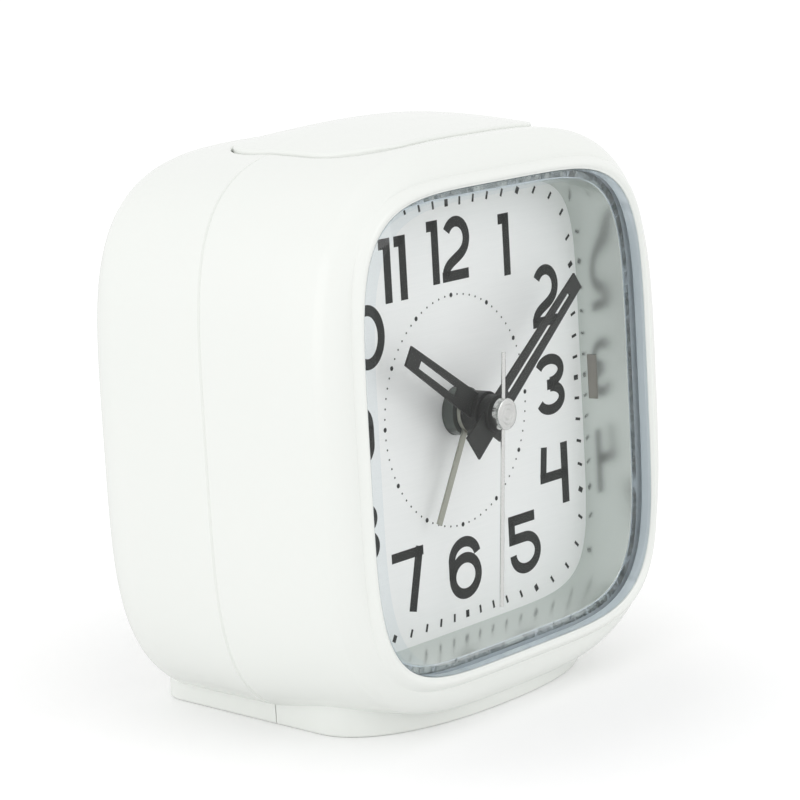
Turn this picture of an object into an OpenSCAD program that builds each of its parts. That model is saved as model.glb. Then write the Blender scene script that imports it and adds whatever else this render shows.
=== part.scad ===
// Bedside alarm clock. A white two-part case leans back on a moulded foot. Behind a clear lens lies a deep
// silver well, then the dial, with four hands on one axis. A battery movement sits behind the dial.
// Front view frame: X to the right, Y up along the case, Z out of the dial face towards the viewer.

/* [Case] */
// Width of the case at the seam
case_w = 95.6; // [90:0.2:104]
// Height of the case at the seam, without foot or push bar
case_h = 96.6; // [91:0.2:106]
// Squareness of the case outline at the seam
case_square = 4.25; // [3.8:0.05:5]
// Wall thickness of both shells
wall = 2.2; // [1.8:0.1:2.5]
// Backward lean of the case in degrees
lean = 4; // [2:0.5:6]
// Height of the hand axis above the middle of the case
axis_rise = 0.4; // [0:0.1:1]
// Dial face to the parting seam
seam_depth = 15.4; // [14.4:0.2:17]
// Dial face to the flat back
back_depth = 43.6; // [42.6:0.2:50]
// How much the case narrows on each side from seam to back
back_inset = 0.4; // [0:0.1:2]
// Radius of the edge round the back
back_round = 8.8; // [5:0.1:9]
// Squareness of the case outline at the back
back_square = 3.95; // [3.4:0.05:4.4]
// Width of the shallow vee along the seam
seam_vee = 0.3; // [0.1:0.05:0.5]

/* [Front] */
// How much the case narrows on each side from seam to rolled edge
front_inset = 0.4; // [0:0.1:1]
// Squareness of the case outline where the rolled edge starts
front_square = 3.45; // [3.2:0.05:4.4]
// Width of the band on each side of the window
band_w = 7.8; // [7.4:0.1:9]
// Height of the band above and below the window
band_h = 8; // [7.3:0.1:9]
// Squareness of the window
window_square = 4.8; // [4.4:0.05:6]
// Dial face to the crown of the raised lip
front_reach = 13.2; // [13:0.1:15]
// Width of the raised lip round the window
lip_w = 2.2; // [1.6:0.1:3]
// Height of the lip above the crease round it
lip_rise = 1.3; // [0.8:0.05:1.6]
// Depth of the rolled front edge
roll_depth = 4.5; // [4:0.1:6]
// Thickness of the front wall round the window
front_plate = 2.05; // [1.6:0.05:2.3]

/* [Foot] */
// Width of the foot
foot_w = 69; // [60:0.5:74]
// Depth of the foot
foot_d = 50.4; // [44:0.2:54]
// Front edge of the foot before the dial face
foot_front = 8.2; // [6:0.2:9]
// Corner radius at the rear of the foot
foot_corner = 5; // [3:0.5:10]
// Depth over which the front of the foot bows out
foot_bow = 15; // [8:0.5:20]
// Lowest point of the case above the table at the seam
foot_drop = 0.3; // [0.1:0.1:1]

/* [Lens and well] */
// Thickness of the lens
lens_t = 2; // [1.6:0.1:2.1]
// Width of the bevel round the lens
bevel_w = 1.7; // [1:0.1:2.2]
// Height of the bevel
bevel_h = 0.5; // [0.2:0.1:0.6]
// Width of the rim that holds the lens behind the front wall
lens_rim = 1.8; // [1.6:0.1:2.4]
// Thickness of that rim
lens_rim_t = 1.1; // [0.8:0.1:1.4]
// Gap between lens and window
lens_gap = 0.12; // [0.05:0.01:0.2]
// Squareness of the well
well_square = 5.15; // [4.6:0.05:6]
// Inset of the well wall from the window at its front
well_inset = 1.7; // [1.4:0.1:2]
// Further inset of the well wall at the dial
well_draft = 0.9; // [0.4:0.1:1.2]
// Wall thickness of the well
well_t = 1.4; // [1:0.1:1.6]
// Length of the lamp window in the well wall
lamp_len = 8; // [5:0.5:10]
// Height of the lamp window
lamp_t = 1.8; // [1.2:0.1:2.4]

/* [Dial and hands] */
// Thickness of the dial
dial_t = 0.8; // [0.5:0.1:1]
// Thickness of each flat hand
hand_t = 0.4; // [0.3:0.05:0.5]
// Minute hand, axis to tip
minute_len = 32.5; // [28:0.5:34]
// Minute hand, axis to tail
minute_tail = 8.4; // [6:0.2:10]
// Minute hand width at the tip
minute_w = 3.3; // [2.6:0.1:3.8]
// Minute hand slot width
minute_slot = 0.85; // [0.6:0.05:1.2]
// Hour hand, axis to tip
hour_len = 23.5; // [20:0.5:26]
// Hour hand, axis to tail
hour_tail = 7; // [5:0.2:8]
// Hour hand width at the tip
hour_w = 3.6; // [3:0.1:4]
// Hour hand slot width
hour_slot = 1.5; // [1:0.1:1.8]
// Alarm hand, axis to tip
alarm_len = 20.6; // [17:0.2:22]
// Alarm hand width
alarm_w = 1.25; // [0.8:0.05:1.6]
// Second hand, axis to tip
second_len = 33.1; // [28:0.5:34]
// Second hand, axis to tail
second_tail = 10.5; // [8:0.5:12]
// Second hand width
second_w = 1; // [0.7:0.05:1.3]
// Radius of the turned cap of the second hand
cap_r = 2.75; // [2:0.05:3]
// Minute hand angle from twelve
minute_angle = 53.4; // [0:0.2:360]
// Hour hand angle from twelve
hour_angle = 303; // [0:0.2:360]
// Alarm hand angle from twelve
alarm_angle = 210; // [0:0.2:360]
// Second hand angle from twelve
second_angle = 185.5; // [0:0.2:360]

/* [Push bar] */
// Width of the push bar
bar_w = 54; // [50:0.2:58]
// Depth of the push bar from front to back
bar_d = 35; // [32:0.2:37]
// Front edge of the push bar before the dial face
bar_front = 5; // [4:0.1:6]
// Corner radius of the push bar
bar_corner = 12; // [8:0.5:13]
// Height of the push bar's edge above the case
bar_proud = 0.5; // [0.3:0.1:1.2]
// Rise of the middle of the push bar above its edge
bar_dome = 2.4; // [1:0.1:3]
// Travel of the push bar
bar_travel = 1.4; // [0.8:0.1:1.6]
// Gap round the push bar
bar_gap = 0.35; // [0.3:0.05:0.5]

/* [Movement] */
// Width of the movement
movement_w = 54; // [53:0.5:58]
// Height of the movement above the hand axis
movement_up = 24; // [22:0.5:26]
// Height of the movement below the hand axis
movement_down = 23.5; // [23:0.5:26]
// Depth of the movement behind its front face
movement_d = 16.8; // [16.6:0.1:18]
// Thickness of the movement's plates
plate_t = 1.6; // [1.4:0.1:1.8]
// Radius of the collar that comes through the dial
collar_r = 4.2; // [3.8:0.1:4.6]
// Centre distance of the setting arbors from the hand axis
setting_distance = 12; // [11.8:0.1:12.6]
// Centre distance of the third wheel from the hand axis
third_distance = 11; // [10.9:0.1:11.3]
// Centre distance of the fifth wheel from the hand axis
fifth_distance = 11; // [10.9:0.1:11.4]
// Centre distance of the rotor from the fifth wheel
rotor_distance = 7.2; // [7:0.1:7.5]
// Thickness of the wheels
wheel_t = 0.8; // [0.6:0.05:0.9]
// Radial running gap of pipes, arbors and pins in their holes
run_gap = 0.06; // [0.03:0.01:0.09]

/* [Back] */
// Radius of the setting knobs
knob_r = 6.8; // [6:0.1:7.4]
// Height of the setting knobs
knob_h = 6; // [5:0.1:7]
// Depth of the round pocket each knob sits in
pocket_depth = 3.4; // [2.6:0.1:4]
// Gap between a knob and the wall of its pocket
pocket_gap = 2; // [1.2:0.1:2.6]
// Diameter of the battery cell
cell_d = 14.2; // [13.8:0.1:14.5]
// Length of the battery cell without its nub
cell_len = 49; // [48:0.1:49.4]
// Thickness of the battery door
door_t = 1.8; // [1.4:0.1:2]
// Travel of the alarm slider
slider_travel = 4; // [3:0.2:5]
// Diameter of the buzzer
buzzer_d = 15; // [12:0.5:15.5]

/* [Hidden] */
$fn = 64;
sides = 64;
far = 200;
ease = 0.01;
clear = 0.3;

// Case levels along Z, from the front to the back
lip_fall = 0.45;
crease_z = front_reach - lip_rise;
window_z = front_reach - lip_fall;
front_in_z = window_z - front_plate;
well_front_z = front_in_z - lens_rim_t;
roll_z = crease_z - roll_depth;
seam_z = -seam_depth;
back_z = -back_depth;
straight_z = back_z + back_round;
back_in_z = back_z + wall;
pocket_z = back_z + pocket_depth;
lens_in_z = window_z + bevel_h - lens_t;

// Case outlines
case_a = case_w / 2;
case_b = case_h / 2;
window_a = case_a - band_w;
window_b = case_b - band_h;
crease_a = window_a + lip_w;
crease_b = window_b + lip_w;
crease_square = 4.9;
tongue_h = 1.6;
tongue_gap = 0.1;
flange_t = 1.5;
well_a = window_a - well_inset;
well_b = window_b - well_inset;
foot_square = 2.3;

// Place of the hand axis: the middle of the foot is the origin
axis_height = foot_drop + (case_b + axis_rise) * cos(lean) + seam_depth * sin(lean);
axis_y = -foot_d / 2 + foot_front * cos(lean) + axis_height * sin(lean);

// Levels of the hands above the dial face
collar_top = 2.2;
alarm_z = 2.6;
hour_z = 5.3;
minute_z = 7.9;
second_z = 9.7;
cap_top = 10.8;
alarm_hub = 0.9;
hour_hub_r = 3.7;
hour_slot_from = 8.6;
minute_hub_r = 3.2;
minute_slot_from = 5;
slot_end = 3.5;
hub_gap = 0.6;

// Pipes on the hand axis, from the inside out
second_r = 0.5;
pipe_wall = 0.64;
minute_r = second_r + run_gap + pipe_wall;
hour_r = minute_r + run_gap + pipe_wall;
alarm_r = hour_r + run_gap + pipe_wall;

// Levels of the movement behind the dial
plate_z = -dial_t - 0.4;
plate_in_z = plate_z - plate_t;
cover_z = plate_z - movement_d;
cover_in_z = cover_z + plate_t;
split_z = (plate_in_z + cover_in_z) / 2;
pivot_low = cover_in_z - plate_t / 2 + clear;
pivot_high = plate_in_z + plate_t / 2 - clear;
movement_corner = 3;
layer = wheel_t + 0.6;
alarm_layer = plate_in_z - 0.4 - wheel_t;
hour_layer = alarm_layer - layer;
motion_layer = hour_layer - layer;
centre_layer = motion_layer - layer;
third_layer = centre_layer - layer - 1;
second_layer = third_layer - layer - 0.6;
fifth_layer = second_layer - layer - 0.3;

// Teeth: seconds to minutes 60 to 1, minutes to hours 12 to 1, rotor to seconds 30 to 1
second_pinion_n = 8;
third_n = 64;
third_pinion_n = 8;
centre_n = 60;
cannon_n = 12;
motion_n = 36;
motion_pinion_n = 10;
hour_n = 40;
fifth_pinion_n = 10;
second_n = 60;
rotor_pinion_n = 8;
fifth_n = 40;
alarm_pinion_n = 12;
alarm_n = 48;

// Directions of the arbors from the hand axis, and their places
third_dir = 270;
fifth_dir = 330;
rotor_dir = 320;
motion_dir = 30;
alarm_dir = 150;
third_at = polar(third_distance, third_dir);
fifth_at = polar(fifth_distance, fifth_dir);
rotor_at = fifth_at + polar(rotor_distance, rotor_dir);
motion_at = polar(setting_distance, motion_dir);
alarm_at = polar(setting_distance, alarm_dir);
arbor_r = 0.6;
pinion_over = 0.1;
coil_r = 3;
coil_x = movement_w / 2 - plate_t - clear - coil_r;
coil_y0 = -4;
coil_y1 = 14;
stator_t = 1;
stator_z = second_layer + 0.4;
magnet_r = 2.8;
magnet_gap = 0.5;
leg_w = 2;
setting_r = 1.2;
setting_reach = 6;
stem_r = 2.6;
knob_gap = 0.35;

// Places on the back
pocket_r = knob_r + pocket_gap;
slider_at = [-18, case_b - 20.9];
slider_w = 5;
slider_h = 3.2;
buzzer_at = [case_a - 28.8, case_b - 20.4];
sound_r = buzzer_d / 2 - 2;
sound_pitch = sound_r / 2.5;
bay_at = [0, 23.7 - case_b];
bay_w = cell_len + 7;
bay_h = cell_d + 1;
ledge = 1.5;
door_w = bay_w + 2 * ledge;
door_h = bay_h + 2 * ledge;
door_gap = 0.25;
tab_x = 15;
tab_w = 8;
tab_t = 1.2;
tab_y = bay_h / 2 - clear - tab_t / 2;
cell_nub = 1.2;
cell_x = cell_len / 2 + 0.4;
contact_t = 0.4;
cell_z = back_z + door_t + 0.6 + cell_d / 2;
bay_floor_z = cell_z + cell_d / 2 + 0.5;
screw_r = 1.3;
screw_head_r = 2.1;
screw_boss_r = 3.2;
screw_len = 14;
screw_gap = 0.25;
screw_seat_z = seam_z - 5;
upper_screw = [case_a - 16.8, case_b - 15.8];
lower_screw = [case_a - 12.4, -9];
screw_spots = [for (p = [upper_screw, lower_screw], side = [-1, 1]) [side * p[0], p[1]]];
ear_x = case_a - 10.8;
ear_y = 4;
ear_z = plate_in_z - clear;
ear_r = 3.2;
ear_screw_r = 0.75;
rib_t = 1.6;

// Push bar: its guide posts stand in a shelf of the rear case
bar_mid = bar_d / 2 - bar_front;
shelf_y = case_b - 10.3;
shelf_t = 2;
post_x = 19;
post_z = -22;
post_r = 2;
shelf_w = 2 * post_x + 12;
bar_floor = case_b - 4.3;
bar_hollow = bar_floor + 1.6;
switch_body = 4.4;
switch_top = shelf_y + switch_body + 0.6;
spring_r = post_r + 0.75;
spring_wire = 0.3;

function polar(r, a) = [r * cos(a), r * sin(a)];
function mix(a, b, t) = a + (b - a) * t;
function spow(v, p) = sign(v) * pow(abs(v), p);

// One ring of a superellipse: r = [half width, half height, squareness, level]
function ring(r) = [for (i = [0:sides - 1]) let (t = 360 * i / sides)
    [r[0] * spow(cos(t), 2 / r[2]), r[1] * spow(sin(t), 2 / r[2]), r[3]]];

// Ring of the front case's side: u runs from the seam, 0, to the start of the rolled edge, 1
function side_ring(u, inset, z) = [case_a - front_inset * u - inset, case_b - front_inset * u - inset,
    mix(case_square, front_square, u), z];

function side_u(z) = (z - seam_z) / (roll_z - seam_z);

// Ring of the rolled edge: s runs from the side, 0, to the crease, 1
function roll_ring(s, z) = [mix(case_a - front_inset, crease_a, s), mix(case_b - front_inset, crease_b, s),
    mix(front_square, crease_square, pow(s, 3)), z];

// Ring of the raised lip: t runs from the crease, 0, to the window, 1
function lip_ring(t, z) = [mix(crease_a, window_a, t), mix(crease_b, window_b, t),
    mix(crease_square, window_square, t), z];

// Ring of the rear case: t runs from the seam, 0, to the start of the back's edge, 1
function rear_ring(t, inset, z) = [case_a - back_inset * t - inset, case_b - back_inset * t - inset,
    mix(case_square, back_square, t), z];

// Height of the case top at a place across and along it, in the front view frame without the axis rise
function case_top(x, z) =
    let (t = (seam_z - z) / (seam_z - straight_z), r = t < 0 ? side_ring(side_u(z), 0, z) : rear_ring(t, 0, z))
    r[1] * pow(1 - pow(abs(x) / r[0], r[2]), 1 / r[2]);

// Stands its children up in the clock: front view frame at the hand axis
module on_axis() {
    translate([0, axis_y, axis_height]) rotate([90 - lean, 0, 0]) children();
}

// Front view frame at the middle of the case
module on_case() {
    on_axis() translate([0, -axis_rise, 0]) children();
}

// Skin through rings, capped at both ends, or closed on itself
module skin(rings, closed = false) {
    n = len(rings[0]);
    m = len(rings);
    walls = [for (k = [0:m - (closed ? 1 : 2)], i = [0:n - 1])
        let (j = (i + 1) % n, l = (k + 1) % m) [k * n + i, k * n + j, l * n + j, l * n + i]];
    caps = closed ? [] : [[for (i = [n - 1:-1:0]) i], [for (i = [0:n - 1]) (m - 1) * n + i]];
    polyhedron(points = [for (r = rings, p = r) p], faces = concat(walls, caps));
}

// Flat plate with round corners, upwards from its base
module rounded_plate(w, h, r, t) {
    linear_extrude(t) rounded_rect(w, h, r);
}

module rounded_rect(w, h, r) {
    square([w - 2 * r, h], center = true);
    square([w, h - 2 * r], center = true);
    for (x = [-1, 1], y = [-1, 1]) translate([x * (w / 2 - r), y * (h / 2 - r)]) circle(r);
}

// Plate with the outline of a ring
module outline_plate(a, b, n, t) {
    linear_extrude(t) polygon([for (p = ring([a, b, n, 0])) [p[0], p[1]]]);
}

// Spur wheel with slack teeth, the first one centred on +X
module spur(teeth, centre_distance, mate_teeth, t) {
    m = 2 * centre_distance / (teeth + mate_teeth);
    pitch = 360 / teeth;
    r = m * teeth / 2;
    tooth = [[-0.24, -1.1], [-0.09, 0.75], [0.09, 0.75], [0.24, -1.1]];
    linear_extrude(t) polygon([for (i = [0:teeth - 1], c = tooth) polar(r + c[1] * m, (i + c[0]) * pitch)]);
}

// Round wire wound into a spring from z = 0 up, with flat-lying ends
module wire_spring(r0, r1, wire, turns, height) {
    steps = turns * 10;
    rings = [for (k = [0:steps])
        let (a = 360 * k / 10, r = mix(r0, r1, k / steps), z = mix(wire, height - wire, k / steps))
        [for (s = [0:5]) let (f = 60 * s)
            [(r + wire * cos(f)) * cos(a), (r + wire * cos(f)) * sin(a), z + wire * sin(f)]]];
    skin(rings);
}

// Plan of the foot: a bowed front, straight sides and round rear corners
function foot_plan() = let (a = foot_w / 2, d = foot_d / 2, n = foot_square) concat(
    [for (t = [180:7.5:360]) [a * spow(cos(t), 2 / n), foot_bow - d + foot_bow * spow(sin(t), 2 / n)]],
    [for (t = [0:15:90]) [a - foot_corner + foot_corner * cos(t), d - foot_corner + foot_corner * sin(t)]],
    [for (t = [90:15:180])
        [foot_corner - a + foot_corner * cos(t), d - foot_corner + foot_corner * sin(t)]]);

// Moulded foot between two levels of Z, up to the rings of a skin inside the case wall
module foot(z0, z1, plug) {
    difference() {
        intersection() {
            linear_extrude(case_b / 2) polygon(foot_plan());
            on_case() translate([-far / 2, -far, z0]) cube([far, far, z1 - z0]);
        }
        on_case() skin([for (r = plug) ring(r)]);
    }
}

module below_table() {
    translate([-far / 2, -far / 2, -far]) cube([far, far, far]);
}

// Space for the push bar in the case top
module bar_opening() {
    on_axis() translate([0, bar_floor - 2, -bar_mid]) rotate([-90, 0, 0])
        rounded_plate(bar_w + 2 * bar_gap, bar_d + 2 * bar_gap, bar_corner + bar_gap, far / 4);
}

module at_screws() {
    for (s = screw_spots) translate([s[0], s[1], 0]) children();
}

// Front shell: lip, crease, rolled edge and side in one wall, with screw bosses and its half of the foot
module front_case() {
    lip = [for (t = [1:-0.25:0]) lip_ring(t, t == 1 ? window_z : crease_z + lip_rise * sin(150 * t))];
    roll = [for (a = [72:-18:0]) roll_ring(1 - cos(a), roll_z + roll_depth * sin(a))];
    tongue_z = seam_z + tongue_h + tongue_gap;
    rings = concat(lip, roll, [
        side_ring(0, 0, seam_z + seam_vee),
        side_ring(0, seam_vee, seam_z),
        side_ring(0, wall / 2, seam_z),
        side_ring(0, wall / 2, tongue_z),
        side_ring(0, wall, tongue_z),
        side_ring(1, wall, roll_z),
        [window_a + lens_rim + clear, window_b + lens_rim + clear, window_square, front_in_z],
        lip_ring(1, front_in_z)]);
    skin_in = wall * 0.4;
    plug = [side_ring(1, skin_in, front_in_z), side_ring(1, skin_in, roll_z),
        side_ring(0, skin_in, seam_z - ease)];
    boss_top = -dial_t - 0.2;
    color("white") difference() {
        union() {
            difference() {
                on_case() skin([for (r = rings) ring(r)], closed = true);
                below_table();
            }
            foot(seam_z, front_in_z - ease, plug);
            on_axis() {
                at_screws() translate([0, 0, seam_z + clear])
                    cylinder(r = screw_boss_r, h = boss_top - seam_z - clear);
                for (s = screw_spots) boss_rib(s[0], s[1], seam_z + 4, boss_top);
                for (x = [-ear_x, ear_x]) {
                    translate([x, ear_y, ear_z]) cylinder(r = ear_r - 0.2, h = boss_top - ear_z);
                    boss_rib(x, ear_y, ear_z + clear, boss_top);
                }
            }
        }
        bar_opening();
        on_axis() {
            at_screws() translate([0, 0, seam_z]) cylinder(r = screw_r - 0.1, h = screw_len - 3);
            for (x = [-ear_x, ear_x]) translate([x, ear_y, ear_z - ease])
                cylinder(r = ear_screw_r + 0.05, h = plate_t);
        }
    }
}

// Rib that carries a boss on the side wall between two levels
module boss_rib(x, y, low, high) {
    r = side_ring(side_u(high), wall / 2, high);
    reach = r[0] * pow(1 - pow((abs(y) + 2) / r[1], r[2]), 1 / r[2]) - abs(x);
    translate([x > 0 ? x : x - reach, y - rib_t / 2, low]) cube([reach, rib_t, high - clear - low]);
}

// Rear shell: side, rounded back, battery bay, knob pockets, shelf of the push bar and its half of the foot
module rear_case() {
    outer = concat([rear_ring(0, wall / 2 + tongue_gap, seam_z), rear_ring(0, seam_vee, seam_z),
            rear_ring(0, 0, seam_z - seam_vee)],
        [for (t = [0.34, 0.67, 1]) rear_ring(t, 0, mix(seam_z, straight_z, t))],
        [for (a = [18:18:90]) rear_ring(1, back_round * (1 - cos(a)), straight_z - back_round * sin(a))]);
    in_round = back_round - wall;
    inner = concat(
        [for (a = [90:-22.5:0])
            rear_ring(1, wall + in_round * (1 - cos(a)), straight_z - in_round * sin(a))],
        [for (t = [0.67, 0.34, 0]) rear_ring(t, wall, mix(seam_z, straight_z, t))],
        [rear_ring(0, wall, seam_z + tongue_h), rear_ring(0, wall / 2 + tongue_gap, seam_z + tongue_h)]);
    skin_in = wall * 0.6;
    skin_round = back_round - skin_in;
    plug = concat([rear_ring(0, skin_in, seam_z + ease)],
        [for (a = [0:22.5:90])
            rear_ring(1, skin_in + skin_round * (1 - cos(a)), straight_z - skin_round * sin(a))]);
    color("white") difference() {
        union() {
            difference() {
                on_case() skin([for (r = concat(inner, outer)) ring(r)]);
                below_table();
            }
            foot(back_z, seam_z, plug);
            on_axis() {
                for (p = [motion_at, alarm_at]) translate([p[0], p[1], back_in_z - ease])
                    cylinder(r = pocket_r + wall, h = pocket_depth + ease);
                translate([bay_at[0], bay_at[1], back_in_z - ease])
                    rounded_plate(door_w + 2 * wall, door_h + 2 * wall, 2, bay_floor_z - back_in_z + wall);
                at_screws() translate([0, 0, back_in_z - ease])
                    cylinder(r = screw_boss_r, h = seam_z - back_in_z);
                translate([buzzer_at[0], buzzer_at[1], back_in_z - ease])
                    cylinder(r = buzzer_d / 2 + 1.4, h = 3);
                translate([-shelf_w / 2, shelf_y - shelf_t, back_in_z - ease])
                    cube([shelf_w, shelf_t, seam_z - 2 - back_in_z]);
                for (x = [-post_x, post_x]) translate([x, shelf_y - shelf_t - 3, post_z]) rotate([-90, 0, 0])
                    cylinder(r = post_r + 1.6, h = 4);
            }
        }
        bar_opening();
        on_axis() {
            back_cuts();
        }
    }
}

// Everything cut into the rear case from behind or from above
module back_cuts() {
    for (p = [motion_at, alarm_at]) translate([p[0], p[1], back_z - ease]) {
        cylinder(r = pocket_r, h = pocket_depth + ease);
        cylinder(r = stem_r + run_gap, h = pocket_depth + 2 * wall);
    }
    translate([bay_at[0], bay_at[1], back_z - ease]) rounded_plate(door_w, door_h, 1.5, door_t + ease);
    translate([bay_at[0], bay_at[1], back_z]) rounded_plate(bay_w, bay_h, 1, bay_floor_z - back_z);
    at_screws() {
        translate([0, 0, back_z - ease]) cylinder(r = screw_head_r + screw_gap, h = screw_seat_z - back_z + 2 * ease);
        translate([0, 0, back_z]) cylinder(r = screw_r + screw_gap, h = seam_z - back_z + 1);
    }
    translate([slider_at[0], slider_at[1], back_z - ease])
        rounded_plate(slider_w + slider_travel + 2 * clear, slider_h + 2 * clear, 1, wall + 1);
    translate([buzzer_at[0], buzzer_at[1], back_in_z]) cylinder(r = buzzer_d / 2 + 0.1, h = 4);
    for (i = [-2:2]) translate([buzzer_at[0], buzzer_at[1] + sound_pitch * i, back_z - ease])
        rounded_plate(2 * sqrt(pow(sound_r, 2) - pow(sound_pitch * i, 2)),
            sound_pitch / 2, sound_pitch / 5, wall + 1);
    for (x = [-post_x, post_x]) translate([x, shelf_y - far / 4, post_z]) rotate([-90, 0, 0])
        cylinder(r = post_r + run_gap, h = far / 2);
}

// Clear tray: bevelled face, rim behind the front wall
module lens() {
    a = window_a - lens_gap;
    b = window_b - lens_gap;
    face_z = window_z + bevel_h;
    rings = [[a - bevel_w, b - bevel_w, window_square, face_z],
        [a, b, window_square, window_z],
        [a, b, window_square, front_in_z],
        [a + lens_rim, b + lens_rim, window_square, front_in_z],
        [a + lens_rim, b + lens_rim, window_square, well_front_z],
        [well_a, well_b, well_square, well_front_z],
        [well_a, well_b, well_square, lens_in_z]];
    color("aliceblue", 0.35) on_case() skin([for (r = rings) ring(r)]);
}

// Deep silver wall between lens and dial, with a flange that the dial lies against
module dial_surround() {
    flange = wall + 0.4;
    n = well_square;
    rings = [[well_a + well_t, well_b + well_t, n, well_front_z],
        [well_a + well_t, well_b + well_t, n, flange_t],
        side_ring(side_u(flange_t), flange, flange_t),
        side_ring(side_u(flange_t), flange, 0),
        [well_a - well_draft, well_b - well_draft, n, 0],
        [well_a, well_b, n, well_front_z]];
    color("silver") difference() {
        on_case() skin([for (r = rings) ring(r)], closed = true);
        on_axis() {
            lamp_space(0.05);
            bar_room();
        }
    }
}

// Room under the pushed bar in the upper edge of the dial and its surround
module bar_room() {
    translate([-bar_w / 2 - bar_gap, bar_floor - bar_travel - clear, -far / 2])
        cube([bar_w + 2 * bar_gap, far, far]);
}

// Space of the lamp window in the well wall at three o'clock
module lamp_space(gap) {
    translate([well_a - well_draft - 1, -lamp_len / 2 - gap, flange_t - gap])
        cube([8, lamp_len + 2 * gap, lamp_t + 2 * gap]);
}

// Clear block that lets the lamp shine across the dial
module lamp_window() {
    color("lightyellow") on_axis() intersection() {
        lamp_space(0);
        translate([well_a - well_draft * 0.8, -far / 2, 0]) cube([5, far, far]);
    }
}

// Dial plate with a hole for the collar
module dial() {
    edge = side_ring(side_u(0), wall + 1, 0);
    color("whitesmoke") difference() {
        on_case() translate([0, 0, -dial_t]) outline_plate(edge[0], edge[1], edge[2], dial_t);
        on_axis() {
            translate([0, 0, -dial_t - 1]) cylinder(r = collar_r + 0.1, h = dial_t + 2);
            bar_room();
        }
    }
}

// Flat bar hand with a long slot, a hub and a square tail, pointing to twelve
module bar_hand(length, tail, w, slot, slot_from, hub_r, bore, z, hub_z, hub_top) {
    tail_w = w + 0.048 * (length + tail);
    difference() {
        union() {
            translate([0, 0, z]) linear_extrude(hand_t) difference() {
                polygon([[-tail_w / 2, -tail], [tail_w / 2, -tail], [w / 2, length], [-w / 2, length]]);
                translate([-slot / 2, slot_from]) square([slot, length - slot_end - slot_from]);
            }
            translate([0, 0, hub_z]) cylinder(r = hub_r, h = hub_top - hub_z);
        }
        translate([0, 0, hub_z - 1]) cylinder(r = bore + ease, h = hub_top - hub_z + 2);
    }
}

module alarm_hand() {
    color("darkkhaki") on_axis() rotate(-alarm_angle) difference() {
        union() {
            translate([-alarm_w / 2, 0, alarm_z]) cube([alarm_w, alarm_len, hand_t]);
            translate([0, 0, alarm_z]) cylinder(r = alarm_r + alarm_hub, h = hand_t + clear);
        }
        translate([0, 0, alarm_z - 1]) cylinder(r = alarm_r + ease, h = hand_t + 2);
    }
}

module hour_hand() {
    color("black") on_axis() rotate(-hour_angle)
        bar_hand(hour_len, hour_tail, hour_w, hour_slot, hour_slot_from, hour_hub_r, hour_r,
            hour_z, alarm_z + hand_t + hub_gap, hour_z + hand_t + 1);
}

module minute_hand() {
    color("black") on_axis() rotate(-minute_angle)
        bar_hand(minute_len, minute_tail, minute_w, minute_slot, minute_slot_from, minute_hub_r, minute_r,
            minute_z, hour_z + hand_t + 1 + clear, minute_z + hand_t + hub_gap);
}

// Silver stick with a ridge and a turned cap
module second_hand() {
    ridge = 0.5;
    color("silver") on_axis() rotate(-second_angle) difference() {
        union() {
            translate([0, second_len, second_z]) rotate([90, 0, 0]) linear_extrude(second_len + second_tail)
                polygon([[-second_w / 2, 0], [second_w / 2, 0], [second_w / 2, hand_t / 2], [0, ridge],
                    [-second_w / 2, hand_t / 2]]);
            rotate_extrude() polygon([[0, second_z - 0.5], [cap_r - 0.3, second_z - 0.5],
                [cap_r, second_z - 0.2], [cap_r, cap_top - 0.3], [cap_r - 0.3, cap_top], [0, cap_top]]);
        }
        translate([0, 0, second_z - 1]) cylinder(r = second_r + ease, h = 1.2);
        for (r = [0.9, 1.7]) translate([0, 0, cap_top - 0.1]) difference() {
            cylinder(r = r + 0.12, h = 1);
            cylinder(r = r - 0.12, h = 1);
        }
    }
}

// Crowned push bar: rings shrink from its side to the middle of its top and follow the case below
module push_bar() {
    edge = [for (a = [0:90:270], t = [0:7.5:90]) bar_edge(a, t)];
    rings = concat(
        [for (s = [0.02, 0.3, 0.6, 0.85, 0.95]) [for (p = edge) bar_point(p * s, 0)]],
        [[for (p = edge) bar_point(p * 0.985, 0.15)], [for (p = edge) bar_point(p, 0.5)],
            [for (p = edge) [p[0], p[1], bar_floor]]]);
    press_y = switch_top + bar_travel + 0.1;
    color("white") on_axis() {
        difference() {
            translate([0, 0, -bar_mid]) rotate([-90, 0, 0]) skin(rings);
            translate([0, bar_floor - 1, -bar_mid]) rotate([-90, 0, 0])
                rounded_plate(bar_w - 4, bar_d - 4, bar_corner - 2, bar_hollow - bar_floor + 1);
        }
        for (x = [-post_x, post_x]) translate([x, shelf_y - shelf_t - 2, post_z]) rotate([-90, 0, 0])
            cylinder(r = post_r, h = bar_hollow - shelf_y + shelf_t + 2);
        translate([0, press_y, post_z]) rotate([-90, 0, 0]) cylinder(r = 2.5, h = bar_hollow - press_y);
    }
}

// Point of the push bar's plan, t degrees into the round corner that starts at angle a
function bar_edge(a, t) = [
    (bar_w / 2 - bar_corner) * sign(cos(a + 45)) + bar_corner * cos(a + t),
    (bar_d / 2 - bar_corner) * sign(sin(a + 45)) + bar_corner * sin(a + t)];

// Point of the crowned top, a little below it by drop
function bar_point(p, drop) = [p[0], p[1], case_top(p[0], -bar_mid - p[1]) - axis_rise + bar_proud - drop
    + bar_dome * (1 - pow(2 * p[0] / bar_w, 2)) * (1 - pow(2 * p[1] / bar_d, 2))];

module push_bar_springs() {
    color("silver") on_axis() for (x = [-post_x, post_x]) translate([x, shelf_y, post_z]) rotate([-90, 0, 0])
        wire_spring(spring_r, spring_r, spring_wire, 5, bar_hollow - shelf_y);
}

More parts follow.
